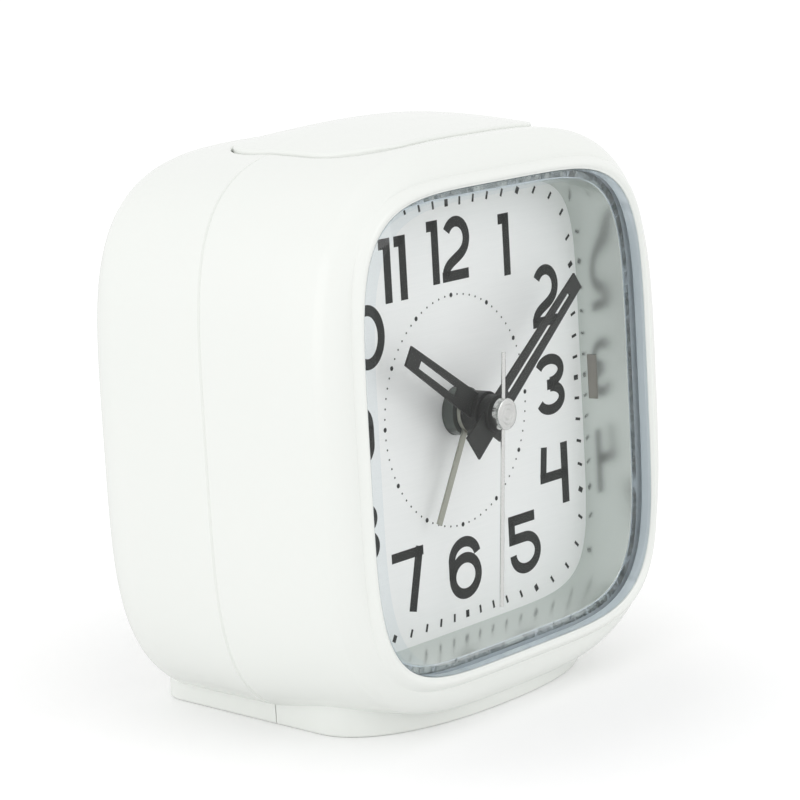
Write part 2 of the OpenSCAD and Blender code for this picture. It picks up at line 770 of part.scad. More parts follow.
// Push switch on a small board on the shelf
module snooze_switch() {
    color("dimgray") on_axis() {
        translate([-8, shelf_y, post_z - 5]) cube([16, 1, 10]);
        translate([-3, shelf_y + 1, post_z - 3]) cube([6, switch_body - 1, 6]);
        translate([0, shelf_y + switch_body, post_z]) rotate([-90, 0, 0])
            cylinder(r = 1.7, h = switch_top - shelf_y - switch_body);
    }
}

module movement_box(z0, z1) {
    translate([0, (movement_up - movement_down) / 2, z0])
        rounded_plate(movement_w, movement_up + movement_down, movement_corner, z1 - z0);
}

module movement_hollow(z0, z1) {
    translate([0, (movement_up - movement_down) / 2, z0])
        rounded_plate(movement_w - 2 * plate_t, movement_up + movement_down - 2 * plate_t,
            movement_corner - plate_t, z1 - z0);
}

// Front half of the movement: tray, collar through the dial, ears on the front case, pivot holes
module movement_plate() {
    color("darkslategray") on_axis() difference() {
        union() {
            movement_box(split_z, plate_z);
            cylinder(r = collar_r, h = collar_top);
            translate([0, 0, plate_z - ease]) cylinder(r = collar_r, h = ease - plate_z);
            for (x = [-1, 1]) {
                translate([x * ear_x, ear_y, ear_z - plate_t]) cylinder(r = ear_r, h = plate_t);
                translate([x > 0 ? movement_w / 2 - 1 : -ear_x, ear_y - ear_r, ear_z - plate_t])
                    cube([ear_x - movement_w / 2 + 1, 2 * ear_r, plate_t]);
            }
        }
        movement_hollow(split_z - ease, plate_in_z);
        translate([0, 0, plate_in_z - 1]) cylinder(r = alarm_r + run_gap, h = 10);
        for (p = [third_at, fifth_at, rotor_at]) translate([p[0], p[1], plate_in_z - ease])
            cylinder(r = arbor_r + run_gap, h = plate_t / 2);
        for (p = [motion_at, alarm_at]) translate([p[0], p[1], plate_in_z - ease])
            cylinder(r = setting_r + run_gap, h = plate_t / 2);
        for (x = [-ear_x, ear_x]) translate([x, ear_y, ear_z - plate_t - 1])
            cylinder(r = 1.1, h = plate_t + 2);
    }
}

// Rear half of the movement with the pivot holes of all arbors
module movement_cover() {
    color("gainsboro") on_axis() difference() {
        movement_box(cover_z, split_z);
        movement_hollow(cover_in_z, split_z + ease);
        for (p = [[0, 0], third_at, fifth_at, rotor_at]) translate([p[0], p[1], cover_in_z - plate_t / 2])
            cylinder(r = arbor_r + run_gap, h = plate_t);
        for (p = [motion_at, alarm_at]) translate([p[0], p[1], cover_z - 1])
            cylinder(r = setting_r + run_gap, h = plate_t + 2);
    }
}

// Arbor with front and rear pivots
module arbor(r, z0, z1) {
    translate([0, 0, z0]) cylinder(r = r, h = z1 - z0);
}

module circuit_board() {
    board_w = 11;
    board_t = 1;
    chip = 7;
    can_r = 1.1;
    can_len = 6;
    board_x = -movement_w / 2 + plate_t + 0.4;
    board_y = -movement_down + plate_t + 1;
    color("seagreen") on_axis() {
        translate([board_x, board_y, cover_in_z])
            cube([board_w, movement_up + movement_down - 2 * plate_t - 2, board_t]);
        translate([board_x + 2, 2, cover_in_z + board_t]) cube([chip, chip, 1.2]);
        translate([board_x + 3, -can_len - 2, cover_in_z + board_t + can_r - 0.1]) rotate([-90, 0, 0])
            cylinder(r = can_r, h = can_len);
    }
}

// Stator: a flat ring of steel round the rotor, with one leg to each end of the coil
module stator() {
    color("lightsteelblue") on_axis() translate([0, 0, stator_z]) linear_extrude(stator_t) difference() {
        union() {
            translate(rotor_at) circle(magnet_r + magnet_gap + leg_w / 2);
            translate(rotor_at - [0, magnet_r + leg_w]) square([coil_x - rotor_at[0] + leg_w / 2, leg_w]);
            translate([coil_x - leg_w / 2, rotor_at[1] - magnet_r - leg_w])
                square([leg_w, coil_y0 - rotor_at[1] + magnet_r + leg_w]);
            translate([rotor_at[0], rotor_at[1] + magnet_r + magnet_gap])
                square([leg_w, coil_y1 - rotor_at[1] - magnet_r + leg_w]);
            translate([rotor_at[0], coil_y1]) square([coil_x - rotor_at[0] + leg_w / 2, leg_w]);
        }
        translate(rotor_at) circle(magnet_r + magnet_gap);
    }
}

// Coil: a wound bobbin between the legs of the stator
module coil() {
    length = coil_y1 - coil_y0;
    flange = 0.8;
    color("peru") on_axis() translate([coil_x, coil_y0, stator_z + stator_t / 2]) rotate([-90, 0, 0])
        rotate_extrude() polygon([[0, 0], [coil_r, 0], [coil_r, flange], [coil_r - 0.5, flange],
            [coil_r - 0.5, length - flange], [coil_r, length - flange], [coil_r, length], [0, length]]);
}

module rotor() {
    color("dimgray") on_axis() translate(concat(rotor_at, 0)) {
        translate([0, 0, stator_z - 0.3]) cylinder(r = magnet_r, h = stator_t + 0.6);
        arbor(arbor_r, pivot_low, pivot_high);
        translate([0, 0, fifth_layer - pinion_over]) rotate(rotor_dir)
            spur(rotor_pinion_n, rotor_distance, fifth_n, wheel_t + 2 * pinion_over);
    }
}

module fifth_wheel() {
    color("ivory") on_axis() translate(concat(fifth_at, 0)) {
        arbor(arbor_r, pivot_low, pivot_high);
        translate([0, 0, fifth_layer]) rotate(rotor_dir + 180 / fifth_n)
            spur(fifth_n, rotor_distance, rotor_pinion_n, wheel_t);
        translate([0, 0, second_layer - pinion_over]) rotate(fifth_dir + 180)
            spur(fifth_pinion_n, fifth_distance, second_n, wheel_t + 2 * pinion_over);
    }
}

module second_wheel() {
    color("ivory") on_axis() {
        arbor(second_r, pivot_low, second_z + 0.15);
        translate([0, 0, second_layer]) rotate(fifth_dir + 180 / second_n)
            spur(second_n, fifth_distance, fifth_pinion_n, wheel_t);
        translate([0, 0, third_layer - pinion_over]) rotate(third_dir)
            spur(second_pinion_n, third_distance, third_n, wheel_t + 2 * pinion_over);
    }
}

module third_wheel() {
    color("ivory") on_axis() translate(concat(third_at, 0)) {
        arbor(arbor_r, pivot_low, pivot_high);
        translate([0, 0, third_layer]) rotate(third_dir + 180 + 180 / third_n)
            spur(third_n, third_distance, second_pinion_n, wheel_t);
        translate([0, 0, centre_layer - pinion_over]) rotate(third_dir + 180)
            spur(third_pinion_n, third_distance, centre_n, wheel_t + 2 * pinion_over);
    }
}

// Wheel and pipe on the hand axis, bored for the next arbor or pipe inside
module bored(bore) {
    difference() {
        children();
        translate([0, 0, -far / 2]) cylinder(r = bore, h = far);
    }
}

module centre_wheel() {
    color("ivory") on_axis() bored(second_r + run_gap) {
        union() {
            translate([0, 0, centre_layer]) cylinder(r = minute_r, h = minute_z + hand_t - centre_layer);
            translate([0, 0, centre_layer]) rotate(third_dir + 180 / centre_n)
                spur(centre_n, third_distance, third_pinion_n, wheel_t);
            translate([0, 0, motion_layer - pinion_over]) rotate(motion_dir)
                spur(cannon_n, setting_distance, motion_n, wheel_t + 2 * pinion_over);
        }
    }
}

module motion_wheel() {
    color("ivory") on_axis() translate(concat(motion_at, 0)) {
        arbor(setting_r, cover_z - setting_reach, pivot_high);
        translate([0, 0, motion_layer]) rotate(motion_dir + 180 + 180 / motion_n)
            spur(motion_n, setting_distance, cannon_n, wheel_t);
        translate([0, 0, hour_layer - pinion_over]) rotate(motion_dir + 180)
            spur(motion_pinion_n, setting_distance, hour_n, wheel_t + 2 * pinion_over);
    }
}

module hour_wheel() {
    color("ivory") on_axis() bored(minute_r + run_gap) {
        union() {
            translate([0, 0, hour_layer]) cylinder(r = hour_r, h = hour_z + hand_t - hour_layer);
            translate([0, 0, hour_layer]) rotate(motion_dir + 180 / hour_n)
                spur(hour_n, setting_distance, motion_pinion_n, wheel_t);
        }
    }
}

module alarm_wheel() {
    color("ivory") on_axis() bored(hour_r + run_gap) {
        union() {
            translate([0, 0, alarm_layer]) cylinder(r = alarm_r, h = alarm_z + hand_t - alarm_layer);
            translate([0, 0, alarm_layer]) rotate(alarm_dir + 180 / alarm_n)
                spur(alarm_n, setting_distance, alarm_pinion_n, wheel_t);
        }
    }
}

module alarm_setting_pinion() {
    color("ivory") on_axis() translate(concat(alarm_at, 0)) {
        arbor(setting_r, cover_z - setting_reach, pivot_high);
        translate([0, 0, alarm_layer - pinion_over]) rotate(alarm_dir + 180)
            spur(alarm_pinion_n, setting_distance, alarm_n, wheel_t + 2 * pinion_over);
    }
}

// Fluted knob with a long stem that plugs onto its setting arbor
module set_knob(at) {
    flutes = 20;
    flute_r = 0.65;
    head_z = pocket_z - knob_gap;
    color("white") on_axis() translate(concat(at, 0)) difference() {
        union() {
            translate([0, 0, head_z - knob_h]) linear_extrude(knob_h) difference() {
                circle(knob_r);
                for (i = [0:flutes - 1]) rotate(360 * i / flutes)
                    translate([knob_r + 0.25, 0]) circle(flute_r);
            }
            translate([0, 0, head_z - ease]) cylinder(r = stem_r, h = cover_z - 1 - head_z);
        }
        translate([0, 0, cover_z - setting_reach - 0.5]) cylinder(r = setting_r + ease, h = 8);
        translate([0, 0, head_z - knob_h - ease]) cylinder(r = knob_r - 2.2, h = 0.5);
    }
}

module time_set_knob() {
    set_knob(motion_at);
}

module alarm_set_knob() {
    set_knob(alarm_at);
}

// Slider: a ribbed thumb piece outside, a stem through the slot, a plate inside. It rests at the off end
module alarm_slider() {
    color("white") on_axis() translate([slider_at[0] - slider_travel / 2, slider_at[1], 0]) {
        translate([-slider_w / 2, -slider_h / 2, back_z - 1.4])
            cube([slider_w, slider_h, 1.4 + wall + clear]);
        for (i = [-1:1]) translate([i * 1.4 - 0.3, -slider_h / 2, back_z - 1.8]) cube([0.6, slider_h, 0.5]);
        translate([-slider_w / 2 - 3, -slider_h / 2 - 1.6, back_in_z + clear])
            cube([slider_w + 6, slider_h + 3.2, 1.2]);
    }
}

module buzzer() {
    color("black") on_axis() translate([buzzer_at[0], buzzer_at[1], back_in_z]) {
        difference() {
            cylinder(r = buzzer_d / 2, h = 5);
            translate([0, 0, -ease]) cylinder(r = buzzer_d / 2 - 1.5, h = 1);
        }
    }
}

module battery_cell() {
    edge = 0.6;
    nub_r = 2.7;
    color("gray") on_axis() translate([-cell_x, bay_at[1], cell_z]) rotate([0, 90, 0])
        rotate_extrude() polygon([[0, 0], [cell_d / 2 - edge, 0], [cell_d / 2, edge],
            [cell_d / 2, cell_len - edge], [cell_d / 2 - edge, cell_len],
            [nub_r, cell_len], [nub_r, cell_len + cell_nub], [0, cell_len + cell_nub]]);
}

// Plus contact: a bent strip on the end wall of the bay
module plus_contact() {
    color("silver") on_axis() {
        translate([bay_w / 2 - contact_t, bay_at[1] - 5, cell_z - 5]) cube([contact_t, 10, 10]);
        translate([cell_len - cell_x + cell_nub, bay_at[1] - 1.5, cell_z - 1.5])
            cube([bay_w / 2 - contact_t / 2 - cell_len + cell_x - cell_nub, 3, 3]);
    }
}

// Minus contact: a tapering wire spring on a plate
module minus_contact() {
    color("silver") on_axis() {
        translate([-bay_w / 2, bay_at[1] - 5, cell_z - 5]) cube([contact_t, 10, 10]);
        translate([-bay_w / 2 + contact_t / 2, bay_at[1], cell_z]) rotate([0, 90, 0])
            wire_spring(4, 2.2, 0.35, 3, bay_w / 2 - cell_x - contact_t / 2 - 0.05);
    }
}

// Battery door: flush plate with grip ribs outside and four tabs that hold it in the mouth of the bay
module battery_door() {
    color("white") on_axis() translate([bay_at[0], bay_at[1], 0]) {
        translate([0, 0, back_z])
            rounded_plate(door_w - 2 * door_gap, door_h - 2 * door_gap, 1.3, door_t - ease);
        for (i = [0:3]) translate([door_w / 2 - 7 + 1.2 * i, -4, back_z - 0.4]) cube([0.6, 8, 0.5]);
        for (x = [-tab_x, tab_x], y = [-tab_y, tab_y])
            translate([x - tab_w / 2, y - tab_t / 2, back_z + door_t - 0.5]) cube([tab_w, tab_t, 3]);
    }
}

// Pan-head screw along +Z with its head at z = 0
module pan_screw(r, head_r, length) {
    head_h = 1.6;
    difference() {
        union() {
            translate([0, 0, -head_h]) cylinder(r = head_r, h = head_h);
            cylinder(r = r, h = length);
        }
        for (a = [0, 90]) rotate(a) translate([-head_r * 0.6, -0.3, -head_h - ease])
            cube([head_r * 1.2, 0.6, head_h / 2]);
    }
}

module case_screws() {
    color("silver") on_axis() at_screws() translate([0, 0, screw_seat_z])
        pan_screw(screw_r - 0.15, screw_head_r, screw_len);
}

module movement_screws() {
    color("silver") on_axis() for (x = [-ear_x, ear_x]) translate([x, ear_y, ear_z - plate_t])
        pan_screw(ear_screw_r, 2, plate_t + 1.2);
}

front_case();
rear_case();
lens();
dial_surround();
lamp_window();
dial();
alarm_hand();
hour_hand();
minute_hand();
second_hand();
push_bar();
push_bar_springs();
snooze_switch();
movement_plate();
movement_cover();
circuit_board();
coil();
stator();
rotor();
fifth_wheel();
second_wheel();
third_wheel();
centre_wheel();
motion_wheel();
hour_wheel();
alarm_wheel();
alarm_setting_pinion();
time_set_knob();
alarm_set_knob();
alarm_slider();
buzzer();
battery_cell();
plus_contact();
minus_contact();
battery_door();
case_screws();
movement_screws();
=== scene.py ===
import math

import bmesh
import bpy
from mathutils import Matrix, Vector


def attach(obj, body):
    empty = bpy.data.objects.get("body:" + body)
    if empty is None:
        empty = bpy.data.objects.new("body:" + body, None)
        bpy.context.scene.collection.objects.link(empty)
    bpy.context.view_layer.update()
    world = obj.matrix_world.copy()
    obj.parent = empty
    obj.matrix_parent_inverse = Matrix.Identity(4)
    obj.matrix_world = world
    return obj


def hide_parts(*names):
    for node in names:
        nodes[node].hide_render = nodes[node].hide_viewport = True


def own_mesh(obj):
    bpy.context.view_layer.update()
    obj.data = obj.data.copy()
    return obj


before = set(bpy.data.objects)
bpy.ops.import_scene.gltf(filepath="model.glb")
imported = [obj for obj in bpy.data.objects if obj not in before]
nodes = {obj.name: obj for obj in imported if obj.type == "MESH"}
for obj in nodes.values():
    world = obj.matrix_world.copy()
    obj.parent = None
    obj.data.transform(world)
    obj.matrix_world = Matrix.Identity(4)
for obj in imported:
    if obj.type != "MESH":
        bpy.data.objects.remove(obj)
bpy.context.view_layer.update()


# Front shell
# The half of the case that frames the window, injection moulded in glossy white ABS. A raised lip runs
# round the window, a crease parts it from the rolled edge, and the side runs back to the seam.
MM = 0.001
LEAN = math.radians(4)
AXIS_Y = -13.53525
AXIS_HEIGHT = 49.95562
AXIS_RISE = 0.4
CASE_A = 47.8
CASE_B = 48.3
CASE_SQUARE = 4.25
FRONT_INSET = 0.4
FRONT_SQUARE = 3.45
WINDOW_A = 40.0
WINDOW_B = 40.3
WINDOW_SQUARE = 4.8
LIP_W = 2.2
LIP_RISE = 1.3
LIP_SWEEP = 150
LIP_EDGE = 0.25
CREASE_SQUARE = 4.9
CREASE_Z = 11.9
ROLL_DEPTH = 4.5
ROLL_Z = CREASE_Z - ROLL_DEPTH
FRONT_IN_Z = 10.7
LENS_RIM = 1.8
LENS_PLAY = 0.3
WALL = 2.2
SEAM_Z = -15.4
SEAM_VEE = 0.3
TONGUE = 1.6
TONGUE_PLAY = 0.1
RING_POINTS = 240
CRISP_ANGLE = 30


def mix(a, b, t):
    """The value a share t of the way from a to b."""
    return a + (b - a) * t


def stand(x, y, z):
    """A point in mm from the hand axis on the dial face, seen from the front, stood up in the clock."""
    return Vector((x,
                   AXIS_Y + y * math.sin(LEAN) - z * math.cos(LEAN),
                   AXIS_HEIGHT + y * math.cos(LEAN) + z * math.sin(LEAN))) * MM


def outline(a, b, square, z):
    """A rounded square round the middle of the case, at even angles."""
    points = []
    for i in range(RING_POINTS):
        turn = 2 * math.pi * i / RING_POINTS
        reach = (abs(math.cos(turn) / a) ** square + abs(math.sin(turn) / b) ** square) ** (-1 / square)
        points.append((reach * math.cos(turn), reach * math.sin(turn) - AXIS_RISE, z))
    return points


def side_outline(u, inset, z):
    """Outline of the front shell's side: u is 0 at the seam and 1 where the rolled edge starts."""
    shrink = FRONT_INSET * u + inset
    return outline(CASE_A - shrink, CASE_B - shrink, mix(CASE_SQUARE, FRONT_SQUARE, u), z)


def roll_outline(s, z):
    """Outline of the rolled edge: s is 0 at the side and 1 at the crease."""
    a = mix(CASE_A - FRONT_INSET, WINDOW_A + LIP_W, s)
    b = mix(CASE_B - FRONT_INSET, WINDOW_B + LIP_W, s)
    return outline(a, b, mix(FRONT_SQUARE, CREASE_SQUARE, s ** 3), z)


def lip_outline(t, z):
    """Outline of the raised lip: t is 0 at the crease and 1 at the window."""
    grow = LIP_W * (1 - t)
    return outline(WINDOW_A + grow, WINDOW_B + grow, mix(CREASE_SQUARE, WINDOW_SQUARE, t), z)


def new_piece(name, points, faces):
    """A mesh piece of the clock with its double points joined and its normals outward."""
    mesh = bpy.data.meshes.new(name)
    mesh.from_pydata([tuple(p) for p in points], [], faces)
    work = bmesh.new()
    work.from_mesh(mesh)
    bmesh.ops.remove_doubles(work, verts=work.verts, dist=0.001 * MM)
    bmesh.ops.recalc_face_normals(work, faces=work.faces)
    work.to_mesh(mesh)
    work.free()
    piece = bpy.data.objects.new(name, mesh)
    bpy.context.scene.collection.objects.link(piece)
    return piece


def skin(name, rings, closed=False, place=stand):
    """A skin through rings of equal count: closed on itself, or capped at both ends."""
    count = len(rings[0])
    points = [place(*p) for ring in rings for p in ring]
    faces = []
    for k in range(len(rings) if closed else len(rings) - 1):
        low = k * count
        high = (k + 1) % len(rings) * count
        for i in range(count):
            j = (i + 1) % count
            faces.append((low + i, low + j, high + j, high + i))
    if not closed:
        faces.append(tuple(range(count)))
        faces.append(tuple(range(len(points) - count, len(points))))
    return new_piece(name, points, faces)


def apply_modifiers(piece):
    """Turns the modified shape into the piece's own mesh."""
    shape = piece.evaluated_get(bpy.context.evaluated_depsgraph_get())
    mesh = bpy.data.meshes.new_from_object(shape)
    piece.modifiers.clear()
    old = piece.data
    piece.data = mesh
    bpy.data.meshes.remove(old)
    mesh.name = piece.name


def combine(piece, operation, *tools):
    """Joins all the tools to the piece at once or cuts them away, and removes the tools."""
    group = bpy.data.collections.new("tools")
    for tool in tools:
        group.objects.link(tool)
    step = piece.modifiers.new("combine", "BOOLEAN")
    step.operation = operation
    step.solver = "EXACT"
    step.operand_type = "COLLECTION"
    step.collection = group
    apply_modifiers(piece)
    for tool in tools:
        bpy.data.objects.remove(tool)
    bpy.data.collections.remove(group)


def smooth(piece):
    """Smooth shading, with flat faces kept flat and sharp edges left crisp."""
    piece.data.shade_smooth()
    piece.data.set_sharp_from_angle(angle=math.radians(CRISP_ANGLE))
    step = piece.modifiers.new("even", "WEIGHTED_NORMAL")
    step.keep_sharp = True
    apply_modifiers(piece)


def linear(hex_colour):
    """An sRGB hex colour as linear red, green, blue and alpha."""
    channels = [int(hex_colour[i:i + 2], 16) / 255 for i in (1, 3, 5)]
    return [c / 12.92 if c <= 0.04045 else ((c + 0.055) / 1.055) ** 2.4 for c in channels] + [1]


def add_node(tree, kind, links=None, **settings):
    """One node: settings go on the node, links holds a value or another node's output for each socket."""
    made = tree.nodes.new(kind)
    for name, value in settings.items():
        setattr(made, name, value)
    for socket, value in (links or {}).items():
        if isinstance(value, bpy.types.NodeSocket):
            tree.links.new(value, made.inputs[socket])
        else:
            made.inputs[socket].default_value = value
    return made


def new_material(name):
    """An empty node material and its tree."""
    material = bpy.data.materials.new(name)
    material.use_nodes = True
    material.node_tree.nodes.clear()
    return material, material.node_tree


def drifting_tone(tree, grain, detail, dark, light):
    """A noise with a grain in mm, and a colour that drifts with it between two tones."""
    place = add_node(tree, "ShaderNodeTexCoord").outputs["Object"]
    noise = add_node(tree, "ShaderNodeTexNoise", {
        "Vector": place, "Scale": 1 / (grain * MM), "Detail": detail})
    tone = add_node(tree, "ShaderNodeMix", {"Factor": noise.outputs["Fac"], "A": linear(dark),
                                            "B": linear(light)}, data_type="RGBA")
    return noise.outputs["Fac"], tone.outputs["Result"]


def coat(tree, links):
    """Ends a material in one shader with the given values."""
    shader = add_node(tree, "ShaderNodeBsdfPrincipled", links)
    add_node(tree, "ShaderNodeOutputMaterial", {"Surface": shader.outputs["BSDF"]})


# Glossy ABS from a polished mould: an even white with a faint warm drift, a soft ripple of a few
# millimetres that bends its reflections, and a gloss that varies a little from handling.
white_abs, tree = new_material("Glossy white ABS")
place = add_node(tree, "ShaderNodeTexCoord").outputs["Object"]
ripple = add_node(tree, "ShaderNodeTexNoise", {"Vector": place, "Scale": 1 / (4 * MM), "Detail": 1})
drift, tone = drifting_tone(tree, 30, 3, "#f1f4f0", "#f4f6f2")
gloss = add_node(tree, "ShaderNodeMapRange", {"Value": drift, "To Min": 0.2, "To Max": 0.27})
bump = add_node(tree, "ShaderNodeBump", {"Height": ripple.outputs["Fac"], "Strength": 0.25,
                                         "Distance": 0.03 * MM})
coat(tree, {
    "Base Color": tone, "Roughness": gloss.outputs["Result"], "IOR": 1.53, "Normal": bump.outputs["Normal"]})

lip_edge = LIP_EDGE / LIP_W
edge_z = CREASE_Z + LIP_RISE * math.sin(math.radians(LIP_SWEEP * (1 - lip_edge)))
tongue_z = SEAM_Z + TONGUE + TONGUE_PLAY
front_rings = [lip_outline(1, FRONT_IN_Z)]
for i in range(5):
    turn = math.radians(22.5 * i)
    front_rings.append(lip_outline(1 - lip_edge * (1 - math.cos(turn)),
                                   edge_z - LIP_EDGE * (1 - math.sin(turn))))
for i in range(1, 17):
    t = (1 - lip_edge) * (1 - i / 16)
    front_rings.append(lip_outline(t, CREASE_Z + LIP_RISE * math.sin(math.radians(LIP_SWEEP * t))))
for i in range(1, 17):
    turn = math.radians(90 - 90 * i / 16)
    front_rings.append(roll_outline(1 - math.cos(turn), ROLL_Z + ROLL_DEPTH * math.sin(turn)))
for i in range(1, 9):
    u = 1 - i / 8
    front_rings.append(side_outline(u, 0, mix(SEAM_Z + SEAM_VEE, ROLL_Z, u)))
front_rings += [side_outline(0, SEAM_VEE, SEAM_Z), side_outline(0, WALL / 2, SEAM_Z),
                side_outline(0, WALL / 2, tongue_z), side_outline(0, WALL, tongue_z),
                side_outline(1, WALL, ROLL_Z),
                outline(WINDOW_A + LENS_RIM + LENS_PLAY, WINDOW_B + LENS_RIM + LENS_PLAY,
                        WINDOW_SQUARE, FRONT_IN_Z)]
front_shell = skin("front_shell", front_rings, closed=True)


# Foot
# A flat plinth moulded with the two shells, so the seam runs through it. Its front bows out, its rear
# corners are round, and its walls stand straight up from the table into the case.
FOOT_W = 69.0
FOOT_D = 50.4
FOOT_BOW = 15.0
FOOT_CORNER = 5.0
FOOT_SQUARE = 2.3
FOOT_EDGE = 0.5
FOOT_TOP = 24.0
FOOT_SEAM = 0.09
FAR = 60
OVERLAP = 0.1


def foot_outline(inset, z):
    """Plan of the foot at a height above the table, in mm."""
    a = FOOT_W / 2 - inset
    d = FOOT_D / 2 - inset
    corner = FOOT_CORNER - inset
    points = []
    for i in range(61):
        turn = math.radians(180 + 3 * i)
        across = abs(math.cos(turn)) ** (2 / FOOT_SQUARE) * (1 if math.cos(turn) > 0 else -1)
        out = abs(math.sin(turn)) ** (2 / FOOT_SQUARE)
        points.append((a * across, FOOT_BOW - FOOT_D / 2 - (FOOT_BOW - inset) * out, z))
    for side in (1, -1):
        for i in range(13):
            turn = math.radians(7.5 * i if side > 0 else 90 + 7.5 * i)
            points.append((side * (a - corner) + corner * math.cos(turn),
                           d - corner + corner * math.sin(turn), z))
    return points


def on_table(x, y, z):
    """A point in mm from the middle of the foot, in metres."""
    return Vector((x, y, z)) * MM


def half_foot(name, low, high, plug_rings):
    """The part of the foot between two levels along the hand axis, outside a skin in the case wall."""
    rings = [foot_outline(FOOT_EDGE * (1 - math.sin(math.radians(22.5 * i))),
                          FOOT_EDGE * (1 - math.cos(math.radians(22.5 * i)))) for i in range(5)]
    half = skin(name, rings + [foot_outline(0, FOOT_TOP)], place=on_table)
    box = [(-FAR, -FAR), (FAR, -FAR), (FAR, 0), (-FAR, 0)]
    combine(half, "INTERSECT", skin("slab", [[(x, y, z) for x, y in box] for z in (low, high)]))
    combine(half, "DIFFERENCE", skin("plug", plug_rings))
    return half


in_skin = 0.4 * WALL
front_plug = [side_outline(1, in_skin, FRONT_IN_Z + 1), side_outline(1, in_skin, ROLL_Z),
              side_outline(0, in_skin, SEAM_Z - OVERLAP)]
combine(front_shell, "UNION", half_foot("front_foot", SEAM_Z + FOOT_SEAM, FRONT_IN_Z, front_plug))


# Push bar
# The wide bar in the top of the case that stops the bell and lights the lamp. It is moulded in the
# same white ABS, swells a little above the case round it, and sinks when it is pressed.
BAR_W = 54.0
BAR_D = 35.0
BAR_FRONT = 5.0
BAR_CORNER = 12.0
BAR_PROUD = 0.5
BAR_DOME = 2.4
BAR_EDGE = 0.5
BAR_GAP = 0.35
BAR_HOLE_EDGE = 0.4
BAR_MID = BAR_D / 2 - BAR_FRONT
BAR_FLOOR = CASE_B - 4.3
BAR_SKIN = 2.0
BAR_HOLLOW = 1.6
BACK_Z = -43.6
BACK_ROUND = 8.8
BACK_INSET = 0.4
BACK_SQUARE = 3.95
STRAIGHT_Z = BACK_Z + BACK_ROUND


def case_top(x, z):
    """Height of the case top above the hand axis, across and along the case."""
    t = (SEAM_Z - z) / (SEAM_Z - STRAIGHT_Z)
    u = (z - SEAM_Z) / (ROLL_Z - SEAM_Z)
    shrink = BACK_INSET * t if t > 0 else FRONT_INSET * u
    square = mix(CASE_SQUARE, BACK_SQUARE, t) if t > 0 else mix(CASE_SQUARE, FRONT_SQUARE, u)
    return (CASE_B - shrink) * (1 - abs(x / (CASE_A - shrink)) ** square) ** (1 / square) - AXIS_RISE


def bar_outline(grow, height, share=1):
    """Plan of the push bar, grown on all sides or shrunk to a share, at a height for each place in it."""
    a = BAR_W / 2 + grow
    d = BAR_D / 2 + grow
    corner = BAR_CORNER + grow
    plan = []
    for quarter, (sx, sz) in enumerate(((1, 1), (-1, 1), (-1, -1), (1, -1))):
        for i in range(25):
            turn = math.radians(90 * quarter + 3.75 * i)
            plan.append((sx * (a - corner) + corner * math.cos(turn),
                         sz * (d - corner) + corner * math.sin(turn)))
        ahead = ((-1, 0), (0, -1), (1, 0), (0, 1))[quarter]
        length = 2 * ((a - corner) if ahead[0] else (d - corner))
        x, z = plan[-1]
        for i in range(1, 12):
            plan.append((x + ahead[0] * length * i / 12, z + ahead[1] * length * i / 12))
    return [(x * share, height(x * share, z * share - BAR_MID), z * share - BAR_MID) for x, z in plan]


def bar_crown(x, z):
    """Height of the bar's top: it swells from its edge to its middle."""
    across = 1 - (2 * x / BAR_W) ** 2
    along = 1 - (2 * (z + BAR_MID) / BAR_D) ** 2
    return case_top(x, z) + BAR_PROUD + BAR_DOME * across * along


bar_rings = [bar_outline(-BAR_EDGE, bar_crown, 0.01 + 0.99 * i / 12) for i in range(13)]
for i in range(1, 7):
    turn = math.radians(15 * i)
    bar_rings.append(bar_outline(-BAR_EDGE * (1 - math.sin(turn)), lambda x, z: bar_crown(x, z)
                                 - BAR_EDGE * (1 - math.cos(turn))))
bar_rings.append(bar_outline(0, lambda x, z: BAR_FLOOR))
bar_rings.append(bar_outline(-BAR_SKIN, lambda x, z: BAR_FLOOR))
bar_rings.append(bar_outline(-BAR_SKIN, lambda x, z: BAR_FLOOR + BAR_HOLLOW))
push_bar = skin("push_bar_cap", bar_rings)


def seat(piece, material, body, slot, *replaced):
    """Gives a piece its only material and its place in the frame, and hides the solids it stands for."""
    smooth(piece)
    piece.data.materials.clear()
    piece.data.materials.append(material)
    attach(piece, body)
    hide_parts(*replaced)


seat(push_bar, white_abs, "push_bar", "white_abs", "push_bar")


def bar_opening():
    """The hole for the bar, with a small round edge where it meets the case top."""
    edge = BAR_HOLE_EDGE
    rings = [bar_outline(BAR_GAP, lambda x, z: BAR_FLOOR - 2)]
    for i in range(5):
        turn = math.radians(22.5 * i)
        rings.append(bar_outline(BAR_GAP + edge * (1 - math.cos(turn)),
                                 lambda x, z: case_top(x, z) - edge * (1 - math.sin(turn))))
    rings.append(bar_outline(BAR_GAP + edge, lambda x, z: case_top(x, z) + 8))
    return skin("bar_hole", rings)


combine(front_shell, "DIFFERENCE", bar_opening())
seat(front_shell, white_abs, "case", "white_abs", "front_case")


